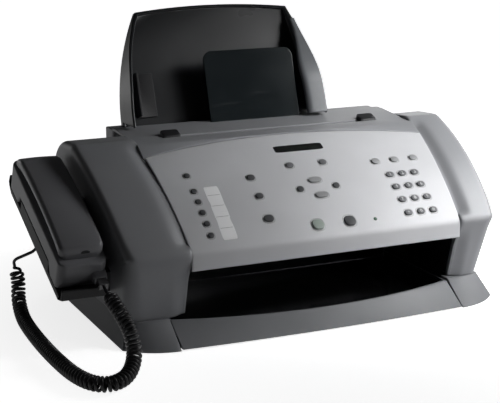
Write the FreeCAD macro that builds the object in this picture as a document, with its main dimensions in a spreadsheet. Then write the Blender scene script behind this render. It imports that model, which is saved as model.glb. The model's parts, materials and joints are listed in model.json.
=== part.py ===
import FreeCAD
import Part

import math
import os
import re

import Sketcher
from FreeCAD import Placement, Rotation, Vector

# Desk fax machine with a lifting control panel, a rear paper tray and a handset on its left side.
# Millimetres. X runs to the right as the user sees it, Y to the back, Z up.
# The origin lies on the table under the middle of the base.

# Driving sizes: name, value, what it is

SIZES = [
    ("base_half", 200, "half width of the base skirt at the table"),
    ("base_rear", 107, "back edge of the base behind the middle"),
    ("foot_tip", 97, "outer tip of each front foot, in front of the middle"),
    ("foot_nose", 121, "front of each foot beside the output tray"),
    ("foot_round", 5, "how far the front of a foot bows out"),
    ("pan_height", 22, "height of the base pan"),
    ("pan_floor", 3, "floor of the base pan"),
    ("pan_wall", 3, "wall of the base pan"),
    ("skirt_flare", 9.4, "how far the skirt spreads at the sides"),
    ("nose_flare", 31, "how far a foot slopes forward beside the tray"),
    ("tip_flare", 15, "how far a foot slopes forward at its outer tip"),
    ("rest_rim", 12, "width of the rim that the machine stands on"),
    ("rest_relief", 1, "depth of the hollow inside that rim"),
    ("pad_length", 22, "length of a rubber pad"),
    ("pad_width", 12, "width of a rubber pad"),
    ("pad_seat", 0.8, "how deep a rubber pad is let into the floor"),
    ("pad_reach_x", 165, "rubber pads beside the middle"),
    ("pad_reach_y", 62, "rubber pads in front of and behind the middle"),
    ("mouth_half", 151, "half width of the mouth for the output tray"),
    ("mouth_back", 84, "front edge of the base floor inside the mouth"),
    ("slide_gap", 0.6, "clearance round the output tray"),
    ("stacker_rear", 34, "back end of the output tray"),
    ("stacker_wall", 3, "wall of the output tray"),
    ("stacker_floor", 2.4, "floor of the output tray"),
    ("stacker_lift", 1, "front lip above the table"),
    ("lip_height", 20, "top of the front lip above the table"),
    ("lip_bow", 5, "how far the foot of the lip bows forward"),
    ("lip_side", 90, "top of the lip at its ends, in front of the middle"),
    ("lip_middle", 115, "top of the lip at its middle, in front of the middle"),
    ("panel_front", 102.7, "front edge of the control panel, in front of the middle"),
    ("panel_lip", 85, "height of that edge"),
    ("panel_slope", 34.9, "slope of the panel in degrees"),
    ("panel_length", 139.8, "panel from its front edge to the middle of its back edge"),
    ("panel_crown", 6.2, "rise of the curved panel over its chord"),
    ("panel_wall", 3, "wall of the panel"),
    ("fascia_height", 17.4, "height of the front fascia"),
    ("panel_left_front", 133, "left edge of the panel at its front"),
    ("panel_left_rear", 141, "left edge of the panel at its back corner"),
    ("panel_right_front", 156, "right edge of the panel at its front"),
    ("panel_right_rear", 166, "right edge of the panel at its back corner"),
    ("panel_corner", 120.5, "panel length at its back corners"),
    ("panel_gap", 1.2, "gap round the panel"),
    ("cover_wall", 3, "wall of the side covers"),
    ("cover_joint", 0.3, "joint between the covers and the deck"),
    ("pillar_foot", 85, "front of the pillars where they meet the base"),
    ("pillar_corner", 11, "rounding of the pillars' outer corner"),
    ("cover_foot", 188.5, "half width over the covers at the base"),
    ("cover_bow", 2, "how far the sides bow out"),
    ("cover_top", 172, "height that the covers are drawn to before the top is cut"),
    ("cover_spread", 14, "how far the sides lean out over that height"),
    ("cover_right_spread", 4, "how much further the right side leans out"),
    ("cover_rise", 3, "how far the top of the covers bows above the panel"),
    ("cover_crest_y", 24, "where the top of the covers turns level"),
    ("cover_crest", 167, "height of the covers there"),
    ("cover_back_y", 54, "where the covers start to round off at the back"),
    ("cover_back", 165, "height of the covers there"),
    ("cover_rear", 104, "back of the covers"),
    ("cover_rear_height", 100, "height where the rounded back becomes upright"),
    ("cover_rear_bow", 11, "bow of that rounded back"),
    ("deck_wall", 3, "wall of the deck"),
    ("deck_crest_y", 75, "where the deck is highest"),
    ("deck_crest", 170, "height of the deck there"),
    ("deck_rear", 86, "back of the deck"),
    ("deck_skirt", 22, "depth of the deck's back flange"),
    ("deck_nose", 22, "how far the deck's ends run forward past the panel's middle"),
    ("slot_left", 88, "left end of the document slot"),
    ("slot_right", 115, "right end of the document slot"),
    ("slot_y", 31, "front edge of the document slot"),
    ("slot_width", 6, "width of the document slot"),
    ("notch_length", 20, "length of the finger notch at each end of the slot"),
    ("notch_width", 12, "width of the finger notch"),
    ("support_x", 13.6, "middle of the document support"),
    ("support_width", 103, "width of the document support"),
    ("support_wall", 3, "thickness of the document support"),
    ("support_foot", 9, "depth of its foot below the deck"),
    ("support_rise", 70, "height of the support above the deck"),
    ("support_lean", 22, "how far its top leans back"),
    ("support_corner", 10, "rounding of its top corners"),
    ("support_y", 74, "front of its foot"),
    ("support_fit", 0.1, "clearance round its foot"),
    ("rear_top", 168, "top of the rear cover"),
    ("rear_wall", 3, "wall of the rear cover"),
    ("well_floor", 148, "floor of the well that the paper tray stands in"),
    ("tray_x", -13, "middle of the paper tray"),
    ("tray_lean", 20, "lean of the paper tray in degrees"),
    ("tray_left_foot", 113, "left edge of the tray at its foot"),
    ("tray_left_middle", 109.5, "left edge of the tray at its middle"),
    ("tray_left_top", 84, "left edge of the tray at its top corner"),
    ("tray_right_foot", 106, "right edge of the tray at its foot"),
    ("tray_right_middle", 104.5, "right edge of the tray at its middle"),
    ("tray_right_top", 91, "right edge of the tray at its top corner"),
    ("tray_length", 138, "tray from its foot to its top corners"),
    ("tray_arch", 5.5, "rise of its arched top"),
    ("tray_wall", 3, "wall of the tray"),
    ("tray_foot_depth", 7, "depth of the foot inside the well"),
    ("wing_depth", 38, "depth of the tray's wings"),
    ("wing_clear", 2, "wings clear of the deck"),
    ("wing_top", 7, "depth of the tray's rim at the middle of its top"),
    ("wing_slope", 0.85, "fall of the wings' tops towards the front"),
    ("tray_fit", 1, "clearance round the tray in its well"),
    ("guide_x", -96, "left face of the width guide, from the tray's middle"),
    ("guide_width", 22, "width of the guide's sole"),
    ("guide_wall", 2.4, "wall of the guide"),
    ("guide_depth", 14, "how far the guide stands out"),
    ("guide_foot", 27, "lower end of the guide up the tray"),
    ("guide_length", 46, "length of the guide"),
    ("guide_gap", 0.3, "clearance behind the guide"),
    ("window_x", 20.5, "middle of the display window"),
    ("window_u", 114.5, "middle of the window up the panel"),
    ("window_width", 54, "width of the window"),
    ("window_length", 10, "length of the window up the panel"),
    ("window_wall", 2, "thickness of the window"),
    ("insert_gap", 0.2, "clearance round the window and the label"),
    ("label_x", -91, "middle of the key label"),
    ("label_u", 41.5, "middle of the key label up the panel"),
    ("label_width", 15, "width of the key label"),
    ("label_length", 63, "length of the key label"),
    ("label_wall", 0.8, "thickness of the key label"),
    ("board_drop", 10, "circuit board below the panel's chord"),
    ("board_wall", 1.6, "thickness of the circuit board"),
    ("board_left", 130, "left edge of the board"),
    ("board_right", 152, "right edge of the board"),
    ("board_front", 6, "front edge of the board up the panel"),
    ("board_rear", 106, "back edge of the board up the panel"),
    ("boss_radius", 4, "radius of the posts that carry the board"),
    ("boss_inset", 5, "posts in from the edges of the board"),
    ("key_bevel", 0.58, "corners of a key cut back, as a share of its half length"),
    ("key_proud", 1.4, "keys stand above the panel"),
    ("key_gap", 0.35, "clearance round a key"),
    ("key_foot", 1.2, "overhang of the plate under a key"),
    ("key_foot_wall", 1, "thickness of that plate"),
    ("key_play", 1.7, "clearance between that plate and the panel"),
    ("key_stem", 2.4, "width of a key's stem"),
    ("key_travel", 1.2, "travel of a key"),
    ("touch_x", -109, "one-touch keys"),
    ("touch_u", 16.5, "first one-touch key up the panel"),
    ("touch_pitch", 13, "spacing of the one-touch keys"),
    ("touch_half", 2.9, "half width of a one-touch key"),
    ("touch_small_u", 89.5, "small key above the one-touch keys"),
    ("column_x", -46, "key column beside the label"),
    ("column_low_u", 27.6, "lowest key of that column"),
    ("column_mid_u", 54.8, "middle key of that column"),
    ("column_high_u", 78.9, "highest key of that column"),
    ("column_low_half", 5, "half width of the lowest key"),
    ("column_half", 4, "half width of the other keys"),
    ("arrow_x", 18.8, "middle of the arrow keys"),
    ("arrow_u", 57.8, "middle of the arrow keys up the panel"),
    ("arrow_side", 19.6, "side arrow keys from that middle"),
    ("arrow_rise", 9.7, "upper and lower arrow keys from that middle"),
    ("arrow_wide", 7, "half width of the upper and lower arrow keys"),
    ("arrow_slim", 3.4, "half length of the arrow keys"),
    ("menu_u", 90.2, "keys under the window"),
    ("menu_reach", 18.3, "those keys from the middle of the arrow keys"),
    ("action_u", 14.7, "start and stop keys"),
    ("action_reach", 17.3, "those keys from the middle of the arrow keys"),
    ("action_half", 6, "half width of the start and stop keys"),
    ("dial_x", 116.4, "middle of the dial keys"),
    ("dial_u", 15.9, "lowest dial keys"),
    ("dial_pitch_x", 14.2, "spacing of the dial keys across"),
    ("dial_pitch_u", 16.1, "spacing of the dial keys up the panel"),
    ("dial_half", 4.3, "half width of a dial key"),
    ("dial_slim", 3.4, "half length of a dial key"),
    ("func_u", 84, "function keys above the dial keys"),
    ("func_pitch", 22, "spacing of the function keys"),
    ("frame_half", 130, "half width over the inner frame"),
    ("frame_sheet", 1.5, "sheet of the inner frame"),
    ("frame_floor", 24, "underside of the inner frame's floor"),
    ("frame_top", 118, "top of the inner frame"),
    ("frame_front", 0, "front of the inner frame"),
    ("frame_rear", 78, "back of the inner frame"),
    ("frame_leg", 42, "front of the inner frame's legs"),
    ("rod_radius", 5, "radius of the carriage rod"),
    ("rod_y", 46, "carriage rod behind the middle"),
    ("rod_height", 95, "carriage rod above the table"),
    ("run_gap", 0.05, "radial clearance of a running fit"),
    ("carriage_x", 50, "middle of the carriage at rest"),
    ("carriage_width", 66, "width of the carriage"),
    ("carriage_front", 12, "front of the carriage"),
    ("carriage_rear", 72, "back of the carriage"),
    ("carriage_low", 72, "underside of the carriage"),
    ("carriage_top", 124, "top of the carriage"),
    ("bay_wall", 3, "wall of the carriage's two bays"),
    ("bay_depth", 20, "depth of those bays"),
    ("shaft_radius", 4, "radius of the feed shaft"),
    ("roller_radius", 9, "radius of the feed rollers"),
    ("roller_length", 60, "length of a feed roller"),
    ("roller_reach", 62, "feed rollers from the middle"),
    ("shaft_y", 20, "feed shaft behind the middle"),
    ("shaft_height", 46, "feed shaft above the table"),
    ("shaft_end", 3, "feed shaft past the frame"),
    ("gear_module", 1.25, "module of the gears"),
    ("gear_wide", 6, "width of the gears"),
    ("gear_side", 1.5, "gears clear of the frame"),
    ("gear_backlash", 0.3, "extra distance between the gears' axes"),
    ("gear_turn", 60, "direction from the feed shaft to the motor, in degrees"),
    ("motor_radius", 13, "radius of the motor"),
    ("motor_length", 26, "length of the motor"),
    ("motor_shaft", 1.5, "radius of the motor's shaft"),
    ("socket_x", 118, "middle of the socket block"),
    ("socket_height", 47, "middle of the socket block above the table"),
    ("socket_width", 62, "width of the socket block"),
    ("socket_rise", 24, "height of the socket block"),
    ("socket_depth", 12, "depth of the socket block"),
    ("socket_flange", 3, "flange of the socket block behind the rear cover"),
    ("socket_fit", 0.2, "clearance round the socket block"),
    ("jack_width", 11, "width of a line socket"),
    ("jack_rise", 9, "height of a line socket"),
    ("inlet_width", 22, "width of the power inlet"),
    ("inlet_rise", 14, "height of the power inlet"),
    ("jack_depth", 9, "depth of the sockets"),
    ("handset_x", -231, "middle of the handset"),
    ("handset_y", -8, "middle of the handset's underside, in front of the middle"),
    ("handset_z", 96, "height of that point"),
    ("handset_slope", 24, "slope of the handset in degrees"),
    ("handset_half", 86.5, "half length of the handset"),
    ("handset_half_width", 23, "half width of the handset"),
    ("cup_length", 38, "length of the ear and mouth cups"),
    ("cup_drop", 8, "cups below the grip"),
    ("grip_rise", 3, "underside of the grip"),
    ("shell_split", 12, "joint between the handset's two shells"),
    ("brow_length", 24, "sloping ends of the handset's back"),
    ("brow_rise", 36, "height of the handset's back at its ends"),
    ("brow_crown", 3, "crown of the handset's back"),
    ("back_edge", 9, "upright rim of the handset's back"),
    ("back_round", 12, "rounding of the handset's long edges"),
    ("handset_corner", 9, "rounding of the handset's corners"),
    ("groove_half", 50, "half length of the finger grooves"),
    ("groove_rise", 8, "height of the finger grooves"),
    ("groove_depth", 3.5, "depth of the finger grooves"),
    ("cradle_half", 90, "half length of the cradle"),
    ("cradle_half_width", 22, "half width of the cradle"),
    ("cradle_low", 15, "underside of the cradle below the handset's middle"),
    ("cradle_rim", 2, "rim of the cradle above that middle"),
    ("cradle_bevel", 9, "bevel of the cradle's ends"),
    ("cup_fit", 1, "clearance round the cups in the cradle"),
    ("seat_gap", 0.05, "clearance under the cups at rest"),
    ("arm_half", 58, "half length of the cradle's arm"),
    ("arm_low", 34, "underside of the arm below the handset's middle"),
    ("arm_start", 6, "arm under the cradle, from its middle"),
    ("hook_width", 9, "width of the hook plunger"),
    ("hook_length", 14, "length of the hook plunger"),
    ("hook_fit", 0.3, "clearance round the hook plunger"),
    ("hook_y", 66, "hook plunger along the handset"),
    ("plug_x", 15, "handset plug beside the handset's middle"),
    ("plug_z", 6.5, "handset plug above the handset's underside"),
    ("plug_width", 9, "width of the plug"),
    ("plug_rise", 7, "height of the plug"),
    ("plug_length", 9, "length of the plug"),
    ("jack_x", -12, "cord's jack under the cradle, beside the handset's middle"),
    ("jack_y", 15, "cord's jack along the cradle"),
    ("wire_radius", 1.6, "radius of the cord's wire"),
    ("wire_lead", 10.4, "length of the first and last reach of the cord's route"),
    ("curl_radius", 5.6, "radius of the curls at the middle of the wire"),
    ("curl_pitch", 30, "spacing of the curls"),
    ("curl_start", 8, "cord from the handset's plug to the first curl"),
    ("curl_end", 48, "cord from the last curl to the jack"),
    ("curl_swell", 12, "cord over which the curls grow to full size"),
]

# Middle line of the curly cord between its two plugs, in the order handset to cradle

CORD_ROUTE = [
    (-213.5, -128, 51),
    (-209, -146, 37),
    (-209, -158, 18),
    (-222, -178, 8.5),
    (-241, -192, 8.3),
    (-256, -184, 8.3),
    (-264, -158, 8.3),
    (-267, -118, 8.3),
    (-267.5, -72, 8.3),
    (-266, -28, 8.3),
    (-264, 6, 10),
    (-262, 26, 22),
    (-259, 33, 38),
    (-262, 33, 52),
    (-265, 27, 61),
    (-256, 21, 66),
]

CORD_SIDES = 4

doc = FreeCAD.newDocument("fax_machine")
sheet = doc.addObject("Spreadsheet::Sheet", "Sizes")
for row, (alias, number, meaning) in enumerate(SIZES, start=1):
    sheet.set(f"A{row}", alias)
    sheet.set(f"B{row}", str(number))
    sheet.set(f"C{row}", meaning)
    sheet.setAlias(f"B{row}", alias)
doc.recompute()
ALIASES = {alias for alias, number, meaning in SIZES}
PARTS = []


# Small helpers: expressions, sketches and features


def linked(text):
    """An expression in the names of the sheet, as the document reads it."""

    def prefix(match):
        word = match.group(0)
        return "Sizes." + word if word in ALIASES else word

    return re.sub(r"[a-z][a-z_]*", prefix, str(text))


def number(text):
    """The present value of such an expression."""
    return float(sheet.evalExpression(linked(text)))


def bind(thing, **expressions):
    """Ties properties to expressions; a double underscore stands for a dot."""
    for name, text in expressions.items():
        thing.setExpression(name.replace("__", "."), linked(text))


def part(thing, name):
    """Counts an object as one of the machine's pieces, under its own name."""
    thing.Label = name
    PARTS.append(thing)
    return thing


def tilt(thing, degrees, base_x="0", base_y="0", base_z="0"):
    """Places an object turned about X, with the turn and the place tied to the sheet."""
    thing.Placement = Placement(Vector(0, 0, 0), Rotation(Vector(1, 0, 0), number(degrees)))
    bind(
        thing,
        Placement__Rotation__Angle=degrees,
        Placement__Base__x=base_x,
        Placement__Base__y=base_y,
        Placement__Base__z=base_z,
    )
    return thing


def shift(thing, base_x="0", base_y="0", base_z="0"):
    """Places an object with its place tied to the sheet."""
    bind(thing, Placement__Base__x=base_x, Placement__Base__y=base_y, Placement__Base__z=base_z)
    return thing


def new_body(name):
    return doc.addObject("PartDesign::Body", name)


def draw(body, plane, outlines, lift="0"):
    """A sketch of closed outlines on one of the body's own planes.

    An outline is a list of corners (across, up); a third entry "arc" marks a point that an arc
    between its two neighbours passes through. Every point is tied to the sheet. A dictionary
    instead of a list is a circle, with its middle and radius.
    """
    origin_plane = [f for f in body.Origin.OriginFeatures if f.Role == plane + "_Plane"][0]
    sketch = body.newObject("Sketcher::SketchObject", body.Name + "_outline")
    sketch.AttachmentSupport = [(origin_plane, "")]
    sketch.MapMode = "FlatFace"
    bind(sketch, AttachmentOffset__Base__z=lift)
    for outline in outlines:
        if isinstance(outline, dict):
            draw_circle(sketch, outline)
        else:
            draw_outline(sketch, outline)
    sketch.recompute()
    return sketch


def pin_point(sketch, edge, end, point):
    """Ties one end of an edge to the sheet, across and up."""
    for kind, text in (("DistanceX", point[0]), ("DistanceY", point[1])):
        at = sketch.addConstraint(Sketcher.Constraint(kind, -1, 1, edge, end, number(text)))
        sketch.setExpression(f"Constraints[{at}]", linked(text))


def draw_circle(sketch, circle):
    middle = Vector(number(circle["middle"][0]), number(circle["middle"][1]), 0)
    edge = sketch.addGeometry(Part.Circle(middle, Vector(0, 0, 1), number(circle["radius"])))
    pin_point(sketch, edge, 3, circle["middle"])
    at = sketch.addConstraint(Sketcher.Constraint("Radius", edge, number(circle["radius"])))
    sketch.setExpression(f"Constraints[{at}]", linked(circle["radius"]))


def draw_outline(sketch, outline):
    corners = [i for i, point in enumerate(outline) if len(point) == 2]
    spots = [Vector(number(point[0]), number(point[1]), 0) for point in outline]
    ends = []
    for here, there in zip(corners, corners[1:] + [corners[0] + len(outline)]):
        first, last = spots[here], spots[there % len(outline)]
        if there - here == 1:
            edge = sketch.addGeometry(Part.LineSegment(first, last))
            ends.append((edge, 1, 2))
            continue
        through = spots[(here + 1) % len(outline)]
        turns_left = (through - first).cross(last - through).z > 0
        arc = Part.Arc(first, through, last) if turns_left else Part.Arc(last, through, first)
        edge = sketch.addGeometry(arc)
        ends.append((edge, 1, 2) if turns_left else (edge, 2, 1))
        mark = sketch.addGeometry(Part.Point(through), True)
        pin_point(sketch, mark, 1, outline[(here + 1) % len(outline)])
        sketch.addConstraint(Sketcher.Constraint("PointOnObject", mark, 1, edge))
    for k, (edge, start, end) in enumerate(ends):
        follower, follower_start, follower_end = ends[(k + 1) % len(ends)]
        sketch.addConstraint(Sketcher.Constraint("Coincident", edge, end, follower, follower_start))
        pin_point(sketch, edge, start, outline[corners[k]])


def settle(body, feature):
    """Works out one new feature, and the body with it."""
    feature.recompute()
    body.recompute()
    return feature


def pad(body, sketch, length, middle=False, back=False):
    """Raises a sketch into material; back turns it against the sketch's normal."""
    feature = body.newObject("PartDesign::Pad", body.Name + "_pad")
    feature.Profile = sketch
    feature.Midplane = middle
    feature.Reversed = back
    bind(feature, Length=length)
    return settle(body, feature)


def pocket(body, sketch, length=None, back=False):
    """Cuts a sketch out of the body, a length deep or right through both ways."""
    before = body.Tip.Shape.Volume
    feature = body.newObject("PartDesign::Pocket", body.Name + "_pocket")
    feature.Profile = sketch
    if length is None:
        feature.Midplane = True
        feature.Type = "ThroughAll"
    else:
        feature.Reversed = back
        bind(feature, Length=length)
    settle(body, feature)
    if not feature.Shape.Volume < before - 1e-6:
        raise RuntimeError(f"{feature.Name} of {body.Name} cuts nothing")
    return feature


def loft(body, low, high):
    feature = body.newObject("PartDesign::AdditiveLoft", body.Name + "_loft")
    feature.Profile = low
    feature.Sections = [high]
    feature.Ruled = True
    return settle(body, feature)


def round_edges(body, chosen, radius):
    """Rounds those edges of the body that a test picks out."""
    base = body.Tip
    names = [f"Edge{i}" for i, edge in enumerate(base.Shape.Edges, start=1) if chosen(edge)]
    if not names:
        raise RuntimeError(f"no edge of {body.Name} to round")
    feature = body.newObject("PartDesign::Fillet", body.Name + "_round")
    feature.Base = (base, names)
    bind(feature, Radius=radius)
    return settle(body, feature)


def rectangle(left, right, low, high):
    return [(left, low), (right, low), (right, high), (left, high)]


def box(name, low, size):
    block = doc.addObject("Part::Box", name)
    bind(block, Length=size[0], Width=size[1], Height=size[2])
    return shift(block, *low)


def cylinder_along_x(name, radius, start, length, y, z):
    rod = doc.addObject("Part::Cylinder", name)
    rod.Placement = Placement(Vector(0, 0, 0), Rotation(Vector(0, 1, 0), 90))
    bind(rod, Radius=radius, Height=length)
    return shift(rod, start, y, z)


def fuse(name, things):
    joined = doc.addObject("Part::MultiFuse", name)
    joined.Shapes = things
    joined.Refine = True
    return joined


def cut(name, base, tool):
    rest = doc.addObject("Part::Cut", name)
    rest.Base = base
    rest.Tool = tool
    return rest


# Base pan with its flared skirt, and the rubber pads let into its underside


def foot_front(side, nose, tip, half):
    """The bowed front of one foot, from the mouth to the outer tip; side is -1 or 1."""
    middle = (
        f"{side} * ((mouth_half + {half}) / 2 + foot_round / 2)",
        f"-(({nose} + {tip}) / 2 + foot_round)",
        "arc",
    )
    return [(f"{side} * mouth_half", f"-({nose})"), middle, (f"{side} * ({half})", f"-({tip})")]


def base_outline(nose, tip, half):
    left = foot_front(-1, nose, tip, half)
    right = foot_front(1, nose, tip, half)
    mouth = [("-mouth_half", "-mouth_back"), ("mouth_half", "-mouth_back")]
    back = [(f"{half}", "base_rear"), (f"-({half})", "base_rear")]
    return back + left[::-1] + mouth + right


def make_base_pan():
    body = new_body("base_pan")
    low = draw(body, "XY", [base_outline("foot_nose", "foot_tip", "base_half")])
    inset = base_outline("foot_nose - nose_flare", "foot_tip - tip_flare", "base_half - skirt_flare")
    high = draw(body, "XY", [inset], "pan_height")
    loft(body, low, high)
    side = "base_half - skirt_flare - pan_wall"
    shelf = "-(mouth_back - 2 * pan_wall)"
    hollow = [
        (f"-({side})", "base_rear - pan_wall"),
        (f"-({side})", shelf),
        ("-mouth_half", shelf),
        ("-mouth_half", "-(foot_nose + lip_bow)"),
        ("mouth_half", "-(foot_nose + lip_bow)"),
        ("mouth_half", shelf),
        (side, shelf),
        (side, "base_rear - pan_wall"),
    ]
    pocket(body, draw(body, "XY", [hollow], "pan_height"), "pan_height - pan_floor")
    relief = rectangle(
        "-(base_half - rest_rim)", "base_half - rest_rim", "-(mouth_back - rest_rim)", "base_rear - rest_rim"
    )
    pocket(body, draw(body, "XY", [relief]), "rest_relief", back=True)
    seats = [
        rectangle(
            f"{x} - pad_length / 2 - insert_gap",
            f"{x} + pad_length / 2 + insert_gap",
            f"{y} - pad_width / 2 - insert_gap",
            f"{y} + pad_width / 2 + insert_gap",
        )
        for x, y in pad_spots()
    ]
    pocket(body, draw(body, "XY", seats), "rest_relief + pad_seat", back=True)
    return part(body, "base_pan")


def pad_spots():
    return [(f"{x} * pad_reach_x", f"{y} * pad_reach_y") for x in (-1, 1) for y in (-1, 1)]


def make_rubber_feet():
    size = ("pad_length", "pad_width", "rest_relief + pad_seat")
    pads = [
        box("rubber_pad", (f"{x} - pad_length / 2", f"{y} - pad_width / 2", "0"), size)
        for x, y in pad_spots()
    ]
    group = doc.addObject("Part::Compound", "rubber_feet")
    group.Links = pads
    return part(group, "rubber_feet")


# Output tray: a shallow drawer whose front is the sloping lip between the feet


def make_output_tray():
    half = "(mouth_half - slide_gap)"
    body = new_body("output_tray")
    low = draw(
        body,
        "XY",
        [
            [
                (f"{half}", "stacker_rear"),
                (f"-{half}", "stacker_rear"),
                (f"-{half}", "-foot_nose"),
                ("0", "-(foot_nose + lip_bow)", "arc"),
                (half, "-foot_nose"),
            ]
        ],
        "stacker_lift",
    )
    high = draw(
        body,
        "XY",
        [
            [
                (f"{half}", "stacker_rear"),
                (f"-{half}", "stacker_rear"),
                (f"-{half}", "-lip_side"),
                ("0", "-lip_middle", "arc"),
                (half, "-lip_side"),
            ]
        ],
        "lip_height",
    )
    loft(body, low, high)
    inner = f"({half} - stacker_wall)"
    room = [
        (inner, "stacker_rear + stacker_wall"),
        (f"-{inner}", "stacker_rear + stacker_wall"),
        (f"-{inner}", "-(lip_side - stacker_wall)"),
        ("0", "-(lip_middle - stacker_wall)", "arc"),
        (inner, "-(lip_side - stacker_wall)"),
    ]
    floor = "lip_height - pan_floor - slide_gap - stacker_floor"
    pocket(body, draw(body, "XY", [room], "lip_height"), floor)
    step = rectangle("-mouth_half", "mouth_half", "-(mouth_back + slide_gap)", "stacker_rear + stacker_wall")
    pocket(body, draw(body, "XY", [step], "stacker_lift"), "pan_floor + slide_gap - stacker_lift", back=True)
    return part(body, "output_tray")


# Side covers: drafted shells with a curved top that follows the control panel


PANEL_REAR_Y = "(panel_length * cos(panel_slope) - panel_front)"
PANEL_REAR_Z = "(panel_lip + panel_length * sin(panel_slope))"
CORNER_Y = "(panel_corner * cos(panel_slope) - panel_front)"


def lean_pad(body, sketch, height, lean_x, lean_y):
    """Raises a sketch to a height along a direction that leans that far across and back."""
    feature = body.newObject("PartDesign::Pad", body.Name + "_pad")
    feature.Profile = sketch
    feature.UseCustomVector = True
    feature.AlongSketchNormal = True
    feature.Direction = Vector(number(lean_x), number(lean_y), number(height))
    bind(feature, Length=height, Direction__x=lean_x, Direction__y=lean_y, Direction__z=height)
    return settle(body, feature)


def cover_solid(name, side, inner_front, inner_rear, inset="0"):
    """The outer form of a side cover, or with an inset the hollow that is cut from it."""
    body = new_body(name)
    spread = "cover_spread + cover_right_spread" if side > 0 else "cover_spread"
    height = "(cover_top - pan_height)"
    lean = f"((panel_front - pillar_foot) / (panel_lip - pan_height) * {height})"
    half = f"(cover_foot - {inset})"
    front = f"-(pillar_foot - {inset})"
    rear = f"(cover_rear + {lean})"
    plan = [
        ("0", front),
        (f"{side} * ({half} - pillar_corner)", front),
        (f"{side} * ({half} - pillar_corner * 0.5)", f"{front} + pillar_corner * 0.134"),
        (f"{side} * ({half} - pillar_corner * 0.134)", f"{front} + pillar_corner * 0.5"),
        (f"{side} * {half}", f"{front} + pillar_corner"),
        (f"{side} * ({half} + cover_bow)", f"({front} + {rear}) / 2", "arc"),
        (f"{side} * {half}", rear),
        ("0", rear),
    ]
    lean_pad(body, draw(body, "XY", [plan], "pan_height"), height, f"{side} * ({spread})", f"-{lean}")
    far = "3 * base_half"
    inner_side = [
        ("0", f"-{far}"),
        (f"{side} * ({inner_front})", f"-{far}"),
        (f"{side} * ({inner_front})", "-panel_front"),
        (f"{side} * ({inner_rear})", CORNER_Y),
        (f"{side} * ({inner_rear})", far),
        ("0", far),
    ]
    pocket(body, draw(body, "XY", [inner_side]))
    swell = "(cover_rise + panel_crown)"
    outside = [
        ("-panel_front", f"panel_lip - {inset}"),
        (
            f"(cover_crest_y - panel_front) / 2 - {swell} * sin(panel_slope)",
            f"(panel_lip + cover_crest) / 2 + {swell} * cos(panel_slope) - {inset}",
            "arc",
        ),
        ("cover_crest_y", f"cover_crest - {inset}"),
        ("cover_back_y", f"cover_back - {inset}"),
        (
            f"(cover_back_y + cover_rear) / 2 + cover_rear_bow - {inset}",
            f"(cover_back + cover_rear_height) / 2 + cover_rear_bow - {inset}",
            "arc",
        ),
        (f"cover_rear - {inset}", f"cover_rear_height - {inset}"),
        (f"cover_rear - {inset}", "0"),
        (far, "0"),
        (far, far),
        (f"-{far}", far),
        (f"-{far}", f"panel_lip - {inset}"),
    ]
    pocket(body, draw(body, "YZ", [outside]))
    return body


def make_side_cover(name, side, inner_front, inner_rear):
    outer = cover_solid(name + "_outer", side, inner_front, inner_rear)
    reach = "4 * cover_wall"
    hollow = cover_solid(
        name + "_hollow", side, f"{inner_front} - {reach}", f"{inner_rear} - {reach}", "cover_wall"
    )
    shell = cut(name, outer, hollow)
    return part(shell, name), outer


# Top deck behind the control panel, with the document slot


def make_top_deck():
    body = new_body("top_deck")
    nose_z = f"({PANEL_REAR_Z} - deck_nose * 0.62)"
    profile = [
        (f"{PANEL_REAR_Y} - deck_nose", nose_z),
        (PANEL_REAR_Y, PANEL_REAR_Z),
        ("deck_crest_y", "deck_crest"),
        ("deck_rear", "deck_crest"),
        ("deck_rear", "deck_crest - deck_skirt"),
        ("deck_rear - deck_wall", "deck_crest - deck_skirt"),
        ("deck_rear - deck_wall", "deck_crest - deck_wall"),
        ("deck_crest_y", "deck_crest - deck_wall"),
        (PANEL_REAR_Y, f"{PANEL_REAR_Z} - deck_wall"),
        (f"{PANEL_REAR_Y} - deck_nose", f"{nose_z} - deck_wall"),
    ]
    width = "panel_left_rear + panel_right_rear + 2 * (panel_gap - cover_joint)"
    start = "-(panel_left_rear + panel_gap - cover_joint)"
    pad(body, draw(body, "YZ", [profile], start), width)
    far = "-panel_front"
    front = [
        ("-2 * panel_left_rear", f"{CORNER_Y} + panel_gap"),
        (start, f"{CORNER_Y} + panel_gap"),
        ("(panel_right_rear - panel_left_rear) / 2", f"{PANEL_REAR_Y} + panel_gap", "arc"),
        (f"{start} + {width}", f"{CORNER_Y} + panel_gap"),
        ("2 * panel_right_rear", f"{CORNER_Y} + panel_gap"),
        ("2 * panel_right_rear", far),
        ("-2 * panel_left_rear", far),
    ]
    pocket(body, draw(body, "XY", [front]))
    slot_end = "slot_y + slot_width"
    deep = "slot_y + notch_width"
    slot = [
        ("-(slot_left + notch_length)", "slot_y"),
        ("slot_right + notch_length", "slot_y"),
        ("slot_right + notch_length", deep),
        ("slot_right", deep),
        ("slot_right", slot_end),
        ("-slot_left", slot_end),
        ("-slot_left", deep),
        ("-(slot_left + notch_length)", deep),
    ]
    pocket(body, draw(body, "XY", [slot]))
    foot = rectangle(
        "support_x - support_width / 2 - support_fit",
        "support_x + support_width / 2 + support_fit",
        "support_y - support_fit",
        "support_y + support_wall + support_fit",
    )
    pocket(body, draw(body, "XY", [foot]))
    return part(body, "top_deck")


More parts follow.
